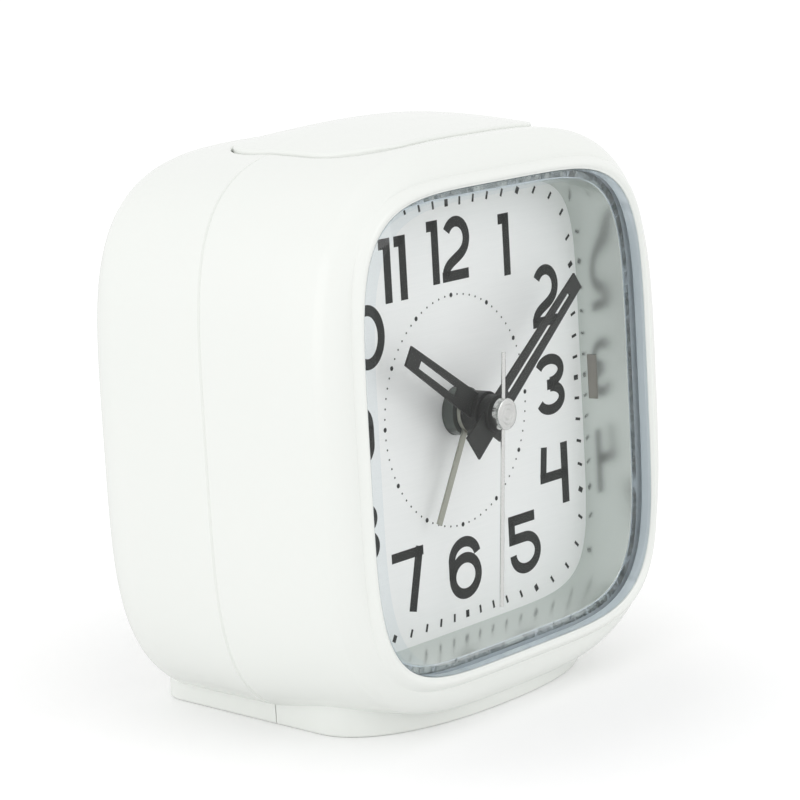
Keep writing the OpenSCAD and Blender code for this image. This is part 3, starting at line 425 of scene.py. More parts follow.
# Rear shell
# The other half of the case, moulded in the same white ABS. It narrows towards the back, turns over in a
# wide round edge and carries the knob pockets, the battery bay, the screw holes and the sound slots.
BACK_IN_Z = BACK_Z + WALL
KNOB_REACH = 12
KNOB_SPOTS = [(KNOB_REACH * math.cos(math.radians(angle)), KNOB_REACH * math.sin(math.radians(angle)))
              for angle in (30, 150)]
POCKET_R = 8.8
POCKET_DEPTH = 3.4
STEM_R = 2.66
STEM_DEPTH = 9
DOOR_SPOT = (0, -24.6)
DOOR_W = 59.0
DOOR_H = 18.2
DOOR_T = 1.8
DOOR_CORNER = 1.5
BAY_W = 56.0
BAY_H = 15.2
BAY_FLOOR_Z = -26.5
BAY_CORNER = 1
SCREW_SPOTS = [(side * x, y) for x, y in ((31.0, 32.5), (35.4, -9.0)) for side in (-1, 1)]
SCREW_HOLE_R = 2.35
SCREW_SEAT_Z = SEAM_Z - 5
SCREW_BOSS_R = 3.2
SLIDER_SPOT = (-18, 27.4)
SLIDER_W = 9.6
SLIDER_H = 3.8
SLIDER_CORNER = 1
SOUND_SPOT = (19.0, 27.9)
SOUND_R = 5.5
SOUND_PITCH = 2.2
SOUND_ROWS = range(-2, 3)
RIM = 0.3
RIM_LIFT = 0.01
ROOT = 0.5


def rear_outline(t, inset, z):
    """Outline of the rear shell: t is 0 at the seam and 1 where the round edge of the back starts."""
    shrink = BACK_INSET * t + inset
    return outline(CASE_A - shrink, CASE_B - shrink, mix(CASE_SQUARE, BACK_SQUARE, t), z)


def edge_outline(inset, degrees):
    """Outline in the round edge of the back, at an angle into it."""
    turn = math.radians(degrees)
    radius = BACK_ROUND - inset
    return rear_outline(1, inset + radius * (1 - math.cos(turn)), STRAIGHT_Z - radius * math.sin(turn))


def rounded_plan(spot, w, h, corner, z):
    """A rectangle with round corners, or a circle, at a place and level."""
    points = []
    for quarter, (sx, sy) in enumerate(((1, 1), (-1, 1), (-1, -1), (1, -1))):
        for i in range(13):
            turn = math.radians(90 * quarter + 7.5 * i)
            points.append((spot[0] + sx * (w / 2 - corner) + corner * math.cos(turn),
                           spot[1] + sy * (h / 2 - corner) + corner * math.sin(turn), z))
    return points


def block(spot, w, h, corner, low, high):
    """An upright block between two levels."""
    return skin("block", [rounded_plan(spot, w, h, corner, z) for z in (low, high)])


def mouth(spot, w, h, corner, depth):
    """A cutter for a hole in the back whose rim is rounded over."""
    rings = [rounded_plan(spot, w, h, corner, BACK_Z + depth)]
    for i in range(5):
        turn = math.radians(22.5 * i)
        grow = RIM * (1 - math.cos(turn))
        rings.append(rounded_plan(spot, w + 2 * grow, h + 2 * grow, corner + grow,
                                  BACK_Z - RIM_LIFT + RIM * (1 - math.sin(turn))))
    rings.append(rounded_plan(spot, w + 2 * RIM, h + 2 * RIM, corner + RIM, BACK_Z - 1))
    return skin("mouth", rings)


rear_rings = [edge_outline(WALL, 90 - 11.25 * i) for i in range(9)]
for i in range(1, 5):
    t = 1 - i / 4
    rear_rings.append(rear_outline(t, WALL, mix(SEAM_Z, STRAIGHT_Z, t)))
rear_rings += [rear_outline(0, WALL, SEAM_Z + TONGUE),
               rear_outline(0, WALL / 2 + TONGUE_PLAY, SEAM_Z + TONGUE),
               rear_outline(0, WALL / 2 + TONGUE_PLAY, SEAM_Z), rear_outline(0, SEAM_VEE, SEAM_Z),
               rear_outline(0, 0, SEAM_Z - SEAM_VEE)]
rear_rings += [rear_outline(i / 8, 0, mix(SEAM_Z, STRAIGHT_Z, i / 8)) for i in range(1, 9)]
rear_rings += [edge_outline(0, 7.5 * i) for i in range(1, 13)]
rear_shell = skin("rear_shell", rear_rings)
# The back is split along lines through the holes, so that no face has a hole inside it.
levels = [DOOR_SPOT[1], SCREW_SPOTS[2][1], KNOB_SPOTS[0][1]]
levels += [SOUND_SPOT[1] + SOUND_PITCH * i for i in SOUND_ROWS]
work = bmesh.new()
work.from_mesh(rear_shell.data)
for level in levels:
    bmesh.ops.bisect_plane(work, geom=work.verts[:] + work.edges[:] + work.faces[:], dist=1e-8,
                           plane_co=stand(0, level, 0), plane_no=stand(0, 1, 0) - stand(0, 0, 0))
work.to_mesh(rear_shell.data)
work.free()
in_skin = 0.6 * WALL
rear_plug = [rear_outline(0, in_skin, SEAM_Z + OVERLAP)]
rear_plug += [edge_outline(in_skin, 11.25 * i) for i in range(9)]
inside = [half_foot("rear_foot", BACK_Z, SEAM_Z - FOOT_SEAM, rear_plug),
          block(DOOR_SPOT, DOOR_W + 2 * WALL, DOOR_H + 2 * WALL, 2, BACK_IN_Z - ROOT, BAY_FLOOR_Z + WALL)]
holes = [bar_opening(), mouth(DOOR_SPOT, DOOR_W, DOOR_H, DOOR_CORNER, DOOR_T),
         block(DOOR_SPOT, BAY_W, BAY_H, BAY_CORNER, BACK_Z + 1, BAY_FLOOR_Z),
         mouth(SLIDER_SPOT, SLIDER_W, SLIDER_H, SLIDER_CORNER, WALL + 1)]
for spot in KNOB_SPOTS:
    cup = 2 * (POCKET_R + WALL)
    inside.append(block(spot, cup, cup, cup / 2, BACK_IN_Z - ROOT, BACK_IN_Z + POCKET_DEPTH))
    holes.append(mouth(spot, 2 * POCKET_R, 2 * POCKET_R, POCKET_R, POCKET_DEPTH))
    holes.append(block(spot, 2 * STEM_R, 2 * STEM_R, STEM_R, BACK_Z + 1, BACK_Z + STEM_DEPTH))
for spot in SCREW_SPOTS:
    inside.append(block(spot, 2 * SCREW_BOSS_R, 2 * SCREW_BOSS_R, SCREW_BOSS_R,
                        BACK_IN_Z - ROOT, SEAM_Z - 0.5))
    holes.append(mouth(spot, 2 * SCREW_HOLE_R, 2 * SCREW_HOLE_R, SCREW_HOLE_R, SCREW_SEAT_Z - BACK_Z))
for i in SOUND_ROWS:
    length = 2 * math.sqrt(SOUND_R ** 2 - (SOUND_PITCH * i) ** 2)
    spot = (SOUND_SPOT[0], SOUND_SPOT[1] + SOUND_PITCH * i)
    holes.append(mouth(spot, length, SOUND_PITCH / 2, SOUND_PITCH / 5, WALL + 1))
# The lowest line of the case is flattened where it would dip below the table.
table_box = [(-FAR, -FAR), (FAR, -FAR), (FAR, FAR), (-FAR, FAR)]
holes.append(skin("below", [[(x, y, z) for x, y in table_box] for z in (-5, -0.002)], place=on_table))
combine(rear_shell, "UNION", *inside)
combine(rear_shell, "DIFFERENCE", *holes)
seat(rear_shell, white_abs, "case", "white_abs", "rear_case")


# Lens
# A tray of clear polished acrylic that snaps into the window from behind. Its face stands a little
# proud with a bevel all round, and a rim behind the front wall holds it.
LENS_GAP = 0.12
LENS_FACE_Z = 13.25
LENS_EDGE_Z = 12.75
LENS_BEVEL = 1.7
LENS_IN_Z = 11.25
WELL_FRONT_Z = 9.6
WELL_A = 38.3
WELL_B = 38.6
WELL_SQUARE = 5.15
RIM_STRIPS = range(3, 7)


def lens_outline(grow, z):
    """Outline of the lens, grown outward from its edge in the window."""
    return outline(WINDOW_A - LENS_GAP + grow, WINDOW_B - LENS_GAP + grow, WINDOW_SQUARE, z)


lens_rings = [lens_outline(-LENS_BEVEL - 0.1, LENS_FACE_Z),
              lens_outline(-LENS_BEVEL + 0.1, LENS_FACE_Z - 0.04),
              lens_outline(-0.12, LENS_EDGE_Z + 0.03), lens_outline(0, LENS_EDGE_Z - 0.1),
              lens_outline(0, FRONT_IN_Z), lens_outline(LENS_RIM, FRONT_IN_Z),
              lens_outline(LENS_RIM, WELL_FRONT_Z),
              outline(WELL_A, WELL_B, WELL_SQUARE, WELL_FRONT_Z),
              outline(WELL_A, WELL_B, WELL_SQUARE, LENS_IN_Z)]
lens = skin("clear_lens", lens_rings)


def clear_acrylic(name, ior, tint, roughness):
    """A clear sheet that passes the light straight and mirrors more at a low angle."""
    material, tree = new_material(name)
    glance = add_node(tree, "ShaderNodeFresnel", {"IOR": ior}).outputs[0]
    behind = add_node(tree, "ShaderNodeNewGeometry").outputs["Backfacing"]
    ahead = add_node(tree, "ShaderNodeMath", {0: 1.0, 1: behind}, operation="SUBTRACT").outputs[0]
    share = add_node(tree, "ShaderNodeMath", {0: glance, 1: ahead}, operation="MULTIPLY").outputs[0]
    passed = add_node(tree, "ShaderNodeBsdfTransparent", {"Color": linear(tint)}).outputs[0]
    mirror = add_node(tree, "ShaderNodeBsdfGlossy", {
        "Color": (1, 1, 1, 1), "Roughness": roughness}).outputs[0]
    shader = add_node(tree, "ShaderNodeMixShader", {0: share, 1: passed, 2: mirror})
    add_node(tree, "ShaderNodeOutputMaterial", {"Surface": shader.outputs[0]})
    return material


# Clear acrylic in its flat face: colourless, with a sharp faint mirror.
acrylic_face = clear_acrylic("Clear acrylic face", 1.3, "#ffffff", 0.02)
# Clear acrylic in its bevelled edge: a trace of blue, because light passes along the sheet there.
acrylic_edge = clear_acrylic("Clear acrylic edge", 1.49, "#f6f9fb", 0.05)
# Clear acrylic in its side and rim: the thick wall seen end on, a pale blue-grey with a soft gloss.
acrylic_rim, tree = new_material("Clear acrylic rim")
coat(tree, {"Base Color": linear("#cdd8de"), "Roughness": 0.12, "IOR": 1.49, "Transmission Weight": 0.2})
seat(lens, acrylic_face, "case", "clear_acrylic", "lens")
lens.data.materials.append(acrylic_edge)
lens.data.materials.append(acrylic_rim)
# The two flat faces come last in the mesh and keep the face material. Behind the bevel the strips of
# the side and the rim take the rim material, and all other strips the edge material.
for face in lens.data.polygons:
    strip = face.index // RING_POINTS
    if strip < len(lens_rings) - 1:
        face.material_index = 2 if strip in RIM_STRIPS else 1


# Dial surround
# The deep wall between lens and dial, moulded and coated in satin silver, so that it mirrors the
# numerals softly. A slot at three o'clock holds the clear window of the dial lamp.
WELL_T = 1.4
WELL_DRAFT = 0.9
FLANGE = 1.5
DIAL_SQUARE = 6.5
LAMP_LEN = 8.0
LAMP_T = 1.8
LAMP_PLAY = 0.05
well_rings = [outline(WELL_A - WELL_DRAFT, WELL_B - WELL_DRAFT, DIAL_SQUARE, 0)]
for i in range(1, 9):
    inset = WELL_DRAFT * (1 - i / 8)
    well_rings.append(outline(WELL_A - inset, WELL_B - inset, mix(DIAL_SQUARE, WELL_SQUARE, i / 8),
                              (WELL_FRONT_Z - 0.2) * i / 8))
well_rings += [outline(WELL_A + 0.2, WELL_B + 0.2, WELL_SQUARE, WELL_FRONT_Z),
               outline(WELL_A + WELL_T, WELL_B + WELL_T, WELL_SQUARE, WELL_FRONT_Z),
               outline(WELL_A + WELL_T, WELL_B + WELL_T, WELL_SQUARE, FLANGE),
               outline(WELL_A + WELL_T + FLANGE, WELL_B + WELL_T + FLANGE, DIAL_SQUARE, FLANGE),
               outline(WELL_A + WELL_T + FLANGE, WELL_B + WELL_T + FLANGE, DIAL_SQUARE, 0)]
surround = skin("silver_well", well_rings, closed=True)
half_slot = LAMP_LEN / 2 + LAMP_PLAY
slot_in = WELL_A - 3
slot_out = WELL_A + 5
lamp_slot = [(slot_in, -half_slot), (slot_out, -half_slot), (slot_out, half_slot), (slot_in, half_slot)]
slot_levels = (FLANGE - LAMP_PLAY, FLANGE + LAMP_T + LAMP_PLAY)
combine(surround, "DIFFERENCE", skin("slot", [[(x, y, z) for x, y in lamp_slot] for z in slot_levels]))

# Satin silver lacquer on plastic: a soft mirror with a fine grain and a little unevenness.
silver_lacquer, tree = new_material("Satin silver lacquer")
place = add_node(tree, "ShaderNodeTexCoord").outputs["Object"]
grain = add_node(tree, "ShaderNodeTexNoise", {"Vector": place, "Scale": 1 / (0.15 * MM), "Detail": 2})
tone = drifting_tone(tree, 12, 2, "#c6cdc9", "#d0d6d2")[1]
gloss = add_node(tree, "ShaderNodeMapRange", {"Value": grain.outputs["Fac"], "To Min": 0.16, "To Max": 0.24})
coat(tree, {"Base Color": tone, "Metallic": 0.85, "Roughness": gloss.outputs["Result"]})
seat(surround, silver_lacquer, "case", "silver_plastic", "dial_surround")


def dress(material, *names):
    """Gives solids carried over from the frame their only material."""
    for name in names:
        nodes[name].data.materials.clear()
        nodes[name].data.materials.append(material)


# Smoky clear plastic: lets the lamp glow through and shows as a dull slot when it is off.
smoky, tree = new_material("Smoky clear plastic")
tone = drifting_tone(tree, 2, 2, "#b3b0a6", "#c0bdb3")[1]
coat(tree, {"Base Color": tone, "Roughness": 0.25, "IOR": 1.49, "Transmission Weight": 0.5})
dress(smoky, "lamp_window")


# Dial
# A thin plate of brushed silver-white metal against the back of the surround. It is printed in black
# with twelve numerals, sixty minute marks on a rounded square and a ring of dots for the alarm hand.
PRINT_T = 0.03
STROKE = 1.85
TRACK_A = 35.8
TRACK_SQUARE = 6.5
ALARM_TRACK_R = 20.0

# Brushed silver-white metal: fine level scratches that stretch the light a little.
dial_metal, tree = new_material("Brushed silver-white metal")
place = add_node(tree, "ShaderNodeTexCoord").outputs["Object"]
drawn = add_node(tree, "ShaderNodeMapping", {
    "Vector": place, "Scale": (1 / (9 * MM), 1 / (0.12 * MM), 1 / (0.12 * MM))})
brush = add_node(tree, "ShaderNodeTexNoise", {"Vector": drawn.outputs["Vector"], "Scale": 1, "Detail": 3})
tone = add_node(tree, "ShaderNodeMix", {"Factor": brush.outputs["Fac"], "A": linear("#f1f4f3"),
                                        "B": linear("#fafcfb")}, data_type="RGBA")
bump = add_node(tree, "ShaderNodeBump", {"Height": brush.outputs["Fac"], "Strength": 0.2,
                                         "Distance": 0.02 * MM})
coat(tree, {
    "Base Color": tone.outputs["Result"], "Metallic": 0.1, "Roughness": 0.45, "Normal": bump.outputs["Normal"]})
dress(dial_metal, "dial")

# Black printing ink: nearly matt, a little uneven where it is laid on thick.
ink, tree = new_material("Black printing ink")
tone = drifting_tone(tree, 0.8, 3, "#1c1f1d", "#242825")[1]
coat(tree, {"Base Color": tone, "Roughness": 0.55, "Specular IOR Level": 0.2})


def arc(x, y, a, b, start, end):
    """Points along an ellipse, from one angle to another in degrees."""
    steps = max(4, round(abs(end - start) / 6))
    return [(x + a * math.cos(math.radians(mix(start, end, i / steps))),
             y + b * math.sin(math.radians(mix(start, end, i / steps)))) for i in range(steps + 1)]


def bend(start, lead, arrive, end):
    """Points along a curve with a handle at each end."""
    points = []
    for i in range(17):
        t = i / 16
        points.append(tuple(
            (1 - t) ** 3 * p + 3 * (1 - t) ** 2 * t * q + 3 * (1 - t) * t * t * r + t ** 3 * s
            for p, q, r, s in zip(start, lead, arrive, end)))
    return points


def numeral(figure):
    """Pen strokes of one numeral about its middle, each a path in mm and the width of its stroke."""
    if figure == "1":
        return [([(0.6, -5.46), (0.6, 5.46)], 1.9), ([(-1.55, 4.56), (0.6, 4.56)], 1.8)]
    if figure == "2":
        neck = bend((2.11, -0.38), (0.5, -2.0), (-3.19, -2.1), (-3.19, -4.58))
        return [(arc(0.04, 1.69, 2.93, 2.93, 150, -45) + neck[1:], STROKE),
                ([(-4.12, -4.58), (3.27, -4.58)], 1.77)]
    if figure == "3":
        return [(arc(0.12, 2.5, 3.46, 2.08, 160, -90), STROKE),
                (arc(0.12, -2.42, 3.46, 2.08, 90, -160), STROKE),
                ([(-0.8, 0.04), (0.6, 0.04)], STROKE)]
    if figure == "4":
        return [([(-2.81, 5.54), (-3.42, -0.04)], 1.8), ([(-4.31, -0.04), (4.23, -0.04)], 1.77),
                ([(3.27, 5.54), (3.27, -5.54)], 2.08)]
    if figure == "5":
        return [([(-4.69, 4.54), (3.15, 4.54)], STROKE), ([(-3.77, 5.46), (-3.77, 0.23)], STROKE),
                ([(-3.77, 1.16)] + arc(0.08, -1.69, 3.69, 2.85, 90, -180), STROKE)]
    if figure == "6":
        return [(arc(0.04, -1.42, 3.69, 3.15, 0, 360), STROKE),
                ([(-3.69, -1.42)] + arc(0, 1.65, 3.69, 2.92, 180, 10), STROKE)]
    if figure == "7":
        return [([(-4.38, 4.62), (4.3, 4.62)], 1.66), ([(3.35, 5.44), (0.58, -5.44)], 2.0)]
    if figure == "8":
        return [(arc(0, 2.5, 3.3, 2.08, 0, 360), STROKE), (arc(0, -2.3, 3.55, 2.27, 0, 360), STROKE)]
    if figure == "9":
        return [([(-x, -y) for x, y in path], width) for path, width in numeral("6")]
    return [(arc(0, 0, 3.69, 4.5, 0, 360), STROKE)]


def lay_stroke(path, width, spot, points, faces):
    """Adds one printed stroke, square at its ends, to lists of points and faces."""
    first = len(points)
    closed = (Vector(path[0]) - Vector(path[-1])).length < 0.001
    for i, (x, y) in enumerate(path):
        before = path[i - 1] if i > 0 else path[-2 if closed else 0]
        after = path[i + 1] if i < len(path) - 1 else path[1 if closed else -1]
        ahead = (Vector(after) - Vector(before)).normalized()
        for side in (width / 2, -width / 2):
            for z in (PRINT_T, 0):
                points.append(stand(spot[0] + x - ahead.y * side, spot[1] + y + ahead.x * side, z))
    for i in range(len(path) - 1):
        a = first + 4 * i
        for k, m in ((0, 2), (2, 3), (3, 1), (1, 0)):
            faces.append((a + k, a + m, a + 4 + m, a + 4 + k))
    last = len(points) - 4
    faces.append((first, first + 1, first + 3, first + 2))
    faces.append((last, last + 2, last + 3, last + 1))


NUMERALS = [("1", -4.38, 27.77), ("2", 2.12, 27.77), ("1", 16.0, 26.65), ("2", 27.6, 16.1), ("3", 27.6, 0),
            ("4", 27.7, -16.5), ("5", 17.8, -26.9), ("6", 0, -27.65), ("7", -15.8, -26.7),
            ("8", -27.6, -16.5), ("9", -27.6, 0), ("1", -30.3, 16.1), ("0", -23.3, 16.1),
            ("1", -17.6, 26.4), ("1", -13.4, 26.4)]
print_points = []
print_faces = []
for figure, x, y in NUMERALS:
    for path, width in numeral(figure):
        lay_stroke(path, width, (x, y), print_points, print_faces)
numerals = new_piece("dial_numerals", print_points, print_faces)
numerals.data.materials.append(ink)
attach(numerals, "case")

# The tree sets marks at even angles round a rounded square or a circle, and every few of them a large one.
marks_tree = bpy.data.node_groups.new("Marks round a track", "GeometryNodeTree")
marks_tree.interface.new_socket("Geometry", in_out="OUTPUT", socket_type="NodeSocketGeometry")
for name, kind in (("Count", "Int"), ("Half width", "Float"), ("Squareness", "Float"), ("Every", "Int"),
                   ("Small mark", "Vector"), ("Large mark", "Vector"), ("Round", "Bool"),
                   ("Material", "Material")):
    marks_tree.interface.new_socket(name, in_out="INPUT", socket_type="NodeSocket" + kind)


def reckon(operation, *values):
    """One step of arithmetic in the marks tree."""
    return add_node(marks_tree, "ShaderNodeMath", dict(enumerate(values)), operation=operation).outputs[0]


given = add_node(marks_tree, "NodeGroupInput").outputs
index = add_node(marks_tree, "GeometryNodeInputIndex").outputs[0]
turn = reckon("MULTIPLY", reckon("DIVIDE", index, given["Count"]), 2 * math.pi)
across = reckon("COSINE", turn)
along = reckon("SINE", turn)
powers = [reckon("POWER", reckon("ABSOLUTE", way), given["Squareness"]) for way in (across, along)]
unit = reckon("POWER", reckon("ADD", *powers), reckon("DIVIDE", -1.0, given["Squareness"]))
reach = reckon("MULTIPLY", unit, given["Half width"])
spot = add_node(marks_tree, "ShaderNodeCombineXYZ", {
    "X": reckon("MULTIPLY", reach, across), "Y": reckon("MULTIPLY", reach, along)})
points = add_node(marks_tree, "GeometryNodePoints", {"Count": given["Count"], "Position": spot.outputs[0]})
is_large = reckon("COMPARE", reckon("MODULO", index, given["Every"]), 0.0, 0.5)
size = add_node(marks_tree, "ShaderNodeMix", {"Factor": is_large, "A": given["Small mark"],
                                              "B": given["Large mark"]}, data_type="VECTOR")
bar = add_node(marks_tree, "GeometryNodeMeshCube", {"Size": (1, 1, 1)})
dot = add_node(marks_tree, "GeometryNodeMeshCylinder", {"Vertices": 24, "Radius": 0.5, "Depth": 1.0})
shape = add_node(marks_tree, "GeometryNodeSwitch", {"Switch": given["Round"], "False": bar.outputs["Mesh"],
                                                    "True": dot.outputs["Mesh"]}, input_type="GEOMETRY")
heading = add_node(marks_tree, "ShaderNodeCombineXYZ", {"Z": turn})
copies = add_node(marks_tree, "GeometryNodeInstanceOnPoints", {
    "Points": points.outputs[0], "Instance": shape.outputs[0], "Rotation": heading.outputs[0],
    "Scale": size.outputs["Result"]})
solid = add_node(marks_tree, "GeometryNodeRealizeInstances", {"Geometry": copies.outputs[0]})
painted = add_node(marks_tree, "GeometryNodeSetMaterial", {"Geometry": solid.outputs[0],
                                                           "Material": given["Material"]})
add_node(marks_tree, "NodeGroupOutput", {0: painted.outputs[0]})
upright = Matrix.Rotation(math.pi / 2 - LEAN, 4, "X")
stand_up = Matrix.Translation(stand(0, 0, 0)) @ upright @ Matrix.Scale(MM, 4)


def dial_marks(name, settings):
    """A printed track of marks on the dial, made by the marks tree."""
    piece = new_piece(name, [], [])
    step = piece.modifiers.new("marks", "NODES")
    step.node_group = marks_tree
    for item in marks_tree.interface.items_tree:
        if item.in_out == "INPUT":
            step[item.identifier] = settings[item.name]
    apply_modifiers(piece)
    piece.data.transform(stand_up)
    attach(piece, "case")


dial_marks("minute_marks", {
    "Count": 60, "Half width": TRACK_A, "Squareness": TRACK_SQUARE, "Every": 5, "Round": False,
    "Small mark": (1.4, 0.5, 2 * PRINT_T), "Large mark": (1.25, 0.9, 2 * PRINT_T), "Material": ink})
dial_marks("alarm_dots", {
    "Count": 72, "Half width": ALARM_TRACK_R, "Squareness": 2.0, "Every": 6, "Round": True,
    "Small mark": (0.34, 0.34, 2 * PRINT_T), "Large mark": (0.8, 0.8, 2 * PRINT_T), "Material": ink})


# Hour and minute hands
# Flat stamped hands in matt black, each with a long slot, a square tail and a round hub that is
# pressed on its pipe. The minute hand lies above the hour hand.
HAND_T = 0.4
HAND_BEVEL = 0.06
HAND_TAPER = 0.048
SLOT_END = 3.5
DISC_POINTS = 96


def turned(angle):
    """A way to place points of a hand that points to twelve, turned clockwise by an angle in degrees."""
    c = math.cos(math.radians(angle))
    s = math.sin(math.radians(angle))
    return lambda x, y, z: stand(x * c + y * s, y * c - x * s, z)


def disc(r, z):
    """A circle round the hand axis."""
    turns = [2 * math.pi * i / DISC_POINTS for i in range(DISC_POINTS)]
    return [(r * math.cos(turn), r * math.sin(turn), z) for turn in turns]


def bevel(piece, width):
    """Rounds the sharp edges of a piece."""
    step = piece.modifiers.new("bevel", "BEVEL")
    step.width = width * MM
    step.segments = 2
    step.limit_method = "ANGLE"
    step.angle_limit = math.radians(40)
    apply_modifiers(piece)


def bar_hand(name, angle, length, tail, w, slot, slot_from, z, hub_r, hub_low, hub_high, bore):
    """A slotted bar hand with its hub, bored for its pipe."""
    tail_w = w + HAND_TAPER * (length + tail)
    edge = [(-tail_w / 2, -tail), (tail_w / 2, -tail), (w / 2, length), (-w / 2, length)]
    slot_to = length - SLOT_END
    gap = [(-slot / 2, slot_from), (slot / 2, slot_from), (slot / 2, slot_to), (-slot / 2, slot_to)]
    rings = [[(x, y, level) for x, y in plan] for plan, level in
             ((edge, z + HAND_T), (edge, z), (gap, z), (gap, z + HAND_T))]
    hand = skin(name, rings, closed=True, place=turned(angle))
    bevel(hand, HAND_BEVEL)
    hub = skin("hub", [disc(hub_r, hub_low), disc(hub_r, hub_high - 0.15),
                       disc(hub_r - 0.05, hub_high - 0.05), disc(hub_r - 0.15, hub_high)])
    combine(hand, "UNION", hub)
    combine(hand, "DIFFERENCE", skin("bore", [disc(bore, hub_low - 1), disc(bore, hub_high + 1)]))
    return hand


# Matt black lacquer on brass: dark green-black, with a low sheen that varies a little.
hand_black, tree = new_material("Matt black lacquer")
mist, tone = drifting_tone(tree, 4, 2, "#141715", "#1a1e1b")
gloss = add_node(tree, "ShaderNodeMapRange", {"Value": mist, "To Min": 0.4, "To Max": 0.5})
coat(tree, {"Base Color": tone, "Roughness": gloss.outputs["Result"], "Specular IOR Level": 0.3})

hour_hand = bar_hand("hour_bar", angle=303, length=23.5, tail=7.0, w=3.6, slot=1.5, slot_from=8.6, z=5.3,
                     hub_r=3.7, hub_low=3.6, hub_high=6.7, bore=1.91)
seat(hour_hand, hand_black, "hour", "black_hand", "hour_hand")
minute_hand = bar_hand("minute_bar", angle=53.4, length=32.5, tail=8.4, w=3.3, slot=0.85, slot_from=5.0,
                       z=7.9, hub_r=3.2, hub_low=7.0, hub_high=8.9, bore=1.21)
seat(minute_hand, hand_black, "minute", "black_hand", "minute_hand")


# Second hand
# A bright stick with a ridge along it, pressed with its turned cap on the thin middle arbor. Its tail
# is about a third as long as its point and helps to balance it.
SECOND_ANGLE = 185.5
SECOND_LENGTH = 33.1
SECOND_TAIL = 10.5
SECOND_BORE = 0.51
SECOND_Z = 9.7
CAP_R = 2.75
CAP_TOP = 10.8
section = [(-0.5, 0), (0.5, 0), (0.5, 0.2), (0, 0.5), (-0.5, 0.2)]
stick_rings = [[(x, y, SECOND_Z + z) for x, z in section] for y in (-SECOND_TAIL, SECOND_LENGTH)]
second_hand = skin("second_stick", stick_rings, place=turned(SECOND_ANGLE))
cap_profile = [(0.01, SECOND_Z - 0.5), (CAP_R - 0.3, SECOND_Z - 0.5), (CAP_R, SECOND_Z - 0.2),
               (CAP_R, CAP_TOP - 0.3), (CAP_R - 0.09, CAP_TOP - 0.09), (CAP_R - 0.3, CAP_TOP)]
for groove in (1.7, 0.9):
    cap_profile += [(groove + 0.12, CAP_TOP), (groove + 0.04, CAP_TOP - 0.1), (groove - 0.04, CAP_TOP - 0.1),
                    (groove - 0.12, CAP_TOP)]
cap_profile.append((0.01, CAP_TOP))
combine(second_hand, "UNION", skin("cap", [disc(r, z) for r, z in cap_profile]))
combine(second_hand, "DIFFERENCE",
        skin("bore", [disc(SECOND_BORE, SECOND_Z - 1), disc(SECOND_BORE, SECOND_Z + 0.2)]))

# Turned bright aluminium: fine rings left by the lathe round the hand axis catch the light.
bright_metal, tree = new_material("Turned bright aluminium")
place = add_node(tree, "ShaderNodeTexCoord").outputs["Object"]
centred = add_node(tree, "ShaderNodeMapping", {"Vector": place, "Location": -stand(0, 0, CAP_TOP)})
rings = add_node(tree, "ShaderNodeTexWave", {
    "Vector": centred.outputs["Vector"], "Scale": 0.314 / (0.12 * MM)},
    wave_type="RINGS", rings_direction="SPHERICAL")
bump = add_node(tree, "ShaderNodeBump", {"Height": rings.outputs["Fac"], "Strength": 0.4,
                                         "Distance": 0.01 * MM})
coat(tree, {
    "Base Color": linear("#d9dad8"), "Metallic": 1, "Roughness": 0.22, "Normal": bump.outputs["Normal"]})
seat(second_hand, bright_metal, "second", "silver_hand", "second_hand")


# Alarm hand
# A narrow flat hand of grey metal close above the dial, on the outermost pipe. It points at the ring
# of dots.
ALARM_ANGLE = 210
ALARM_LENGTH = 20.6
ALARM_W = 1.25
ALARM_Z = 2.6
ALARM_HUB_R = 3.5
ALARM_BORE = 2.61
alarm_edge = [(-ALARM_W / 2, 0), (ALARM_W / 2, 0), (ALARM_W / 2, ALARM_LENGTH), (-ALARM_W / 2, ALARM_LENGTH)]
alarm_hand = skin("alarm_strip", [[(x, y, z) for x, y in alarm_edge] for z in (ALARM_Z, ALARM_Z + HAND_T)],
                  place=turned(ALARM_ANGLE))
bevel(alarm_hand, HAND_BEVEL)
combine(alarm_hand, "UNION", skin("hub", [disc(ALARM_HUB_R, ALARM_Z), disc(ALARM_HUB_R, ALARM_Z + 0.65),
                                          disc(ALARM_HUB_R - 0.05, ALARM_Z + 0.7)]))
combine(alarm_hand, "DIFFERENCE", skin("bore", [disc(ALARM_BORE, z) for z in (ALARM_Z - 1, ALARM_Z + 2)]))

# Satin grey aluminium: a dull olive silver with a fine grain.
grey_metal, tree = new_material("Satin grey aluminium")
tone = drifting_tone(tree, 0.2, 2, "#9b9d92", "#adaea3")[1]
coat(tree, {"Base Color": tone, "Metallic": 0.7, "Roughness": 0.4})
seat(alarm_hand, grey_metal, "alarm", "olive_hand", "alarm_hand")


# Knobs, slider and battery door
# The pieces a hand works at the back, moulded in the same white ABS as the case: two fluted setting
# knobs, the ribbed alarm slider and the door of the battery bay.
dress(white_abs, "time_set_knob", "alarm_set_knob", "alarm_slider", "battery_door")


# Movement and inside
# What the closed case hides: the battery movement with its train of nylon wheels, the board, the motor,
# the push switch, the buzzer, the cell with its contacts, and the screws. The movement's collar shows
# as a dark ring in the middle of the dial.
def plain_material(name, dark, light, grain, roughness, metallic=0.0):
    """An even material whose tone and gloss vary a little, with a grain in mm."""
    material, tree = new_material(name)
    noise, tone = drifting_tone(tree, grain, 2, dark, light)
    gloss = add_node(tree, "ShaderNodeMapRange", {"Value": noise, "To Min": roughness - 0.05,
                                                  "To Max": roughness + 0.05})
    coat(tree, {"Base Color": tone, "Roughness": gloss.outputs["Result"], "Metallic": metallic})
    return material


# Dark polystyrene: glossy grey-green black, as the collar shows it.
dress(plain_material("Dark polystyrene", "#464e49", "#505853", 3, 0.2), "movement_plate")
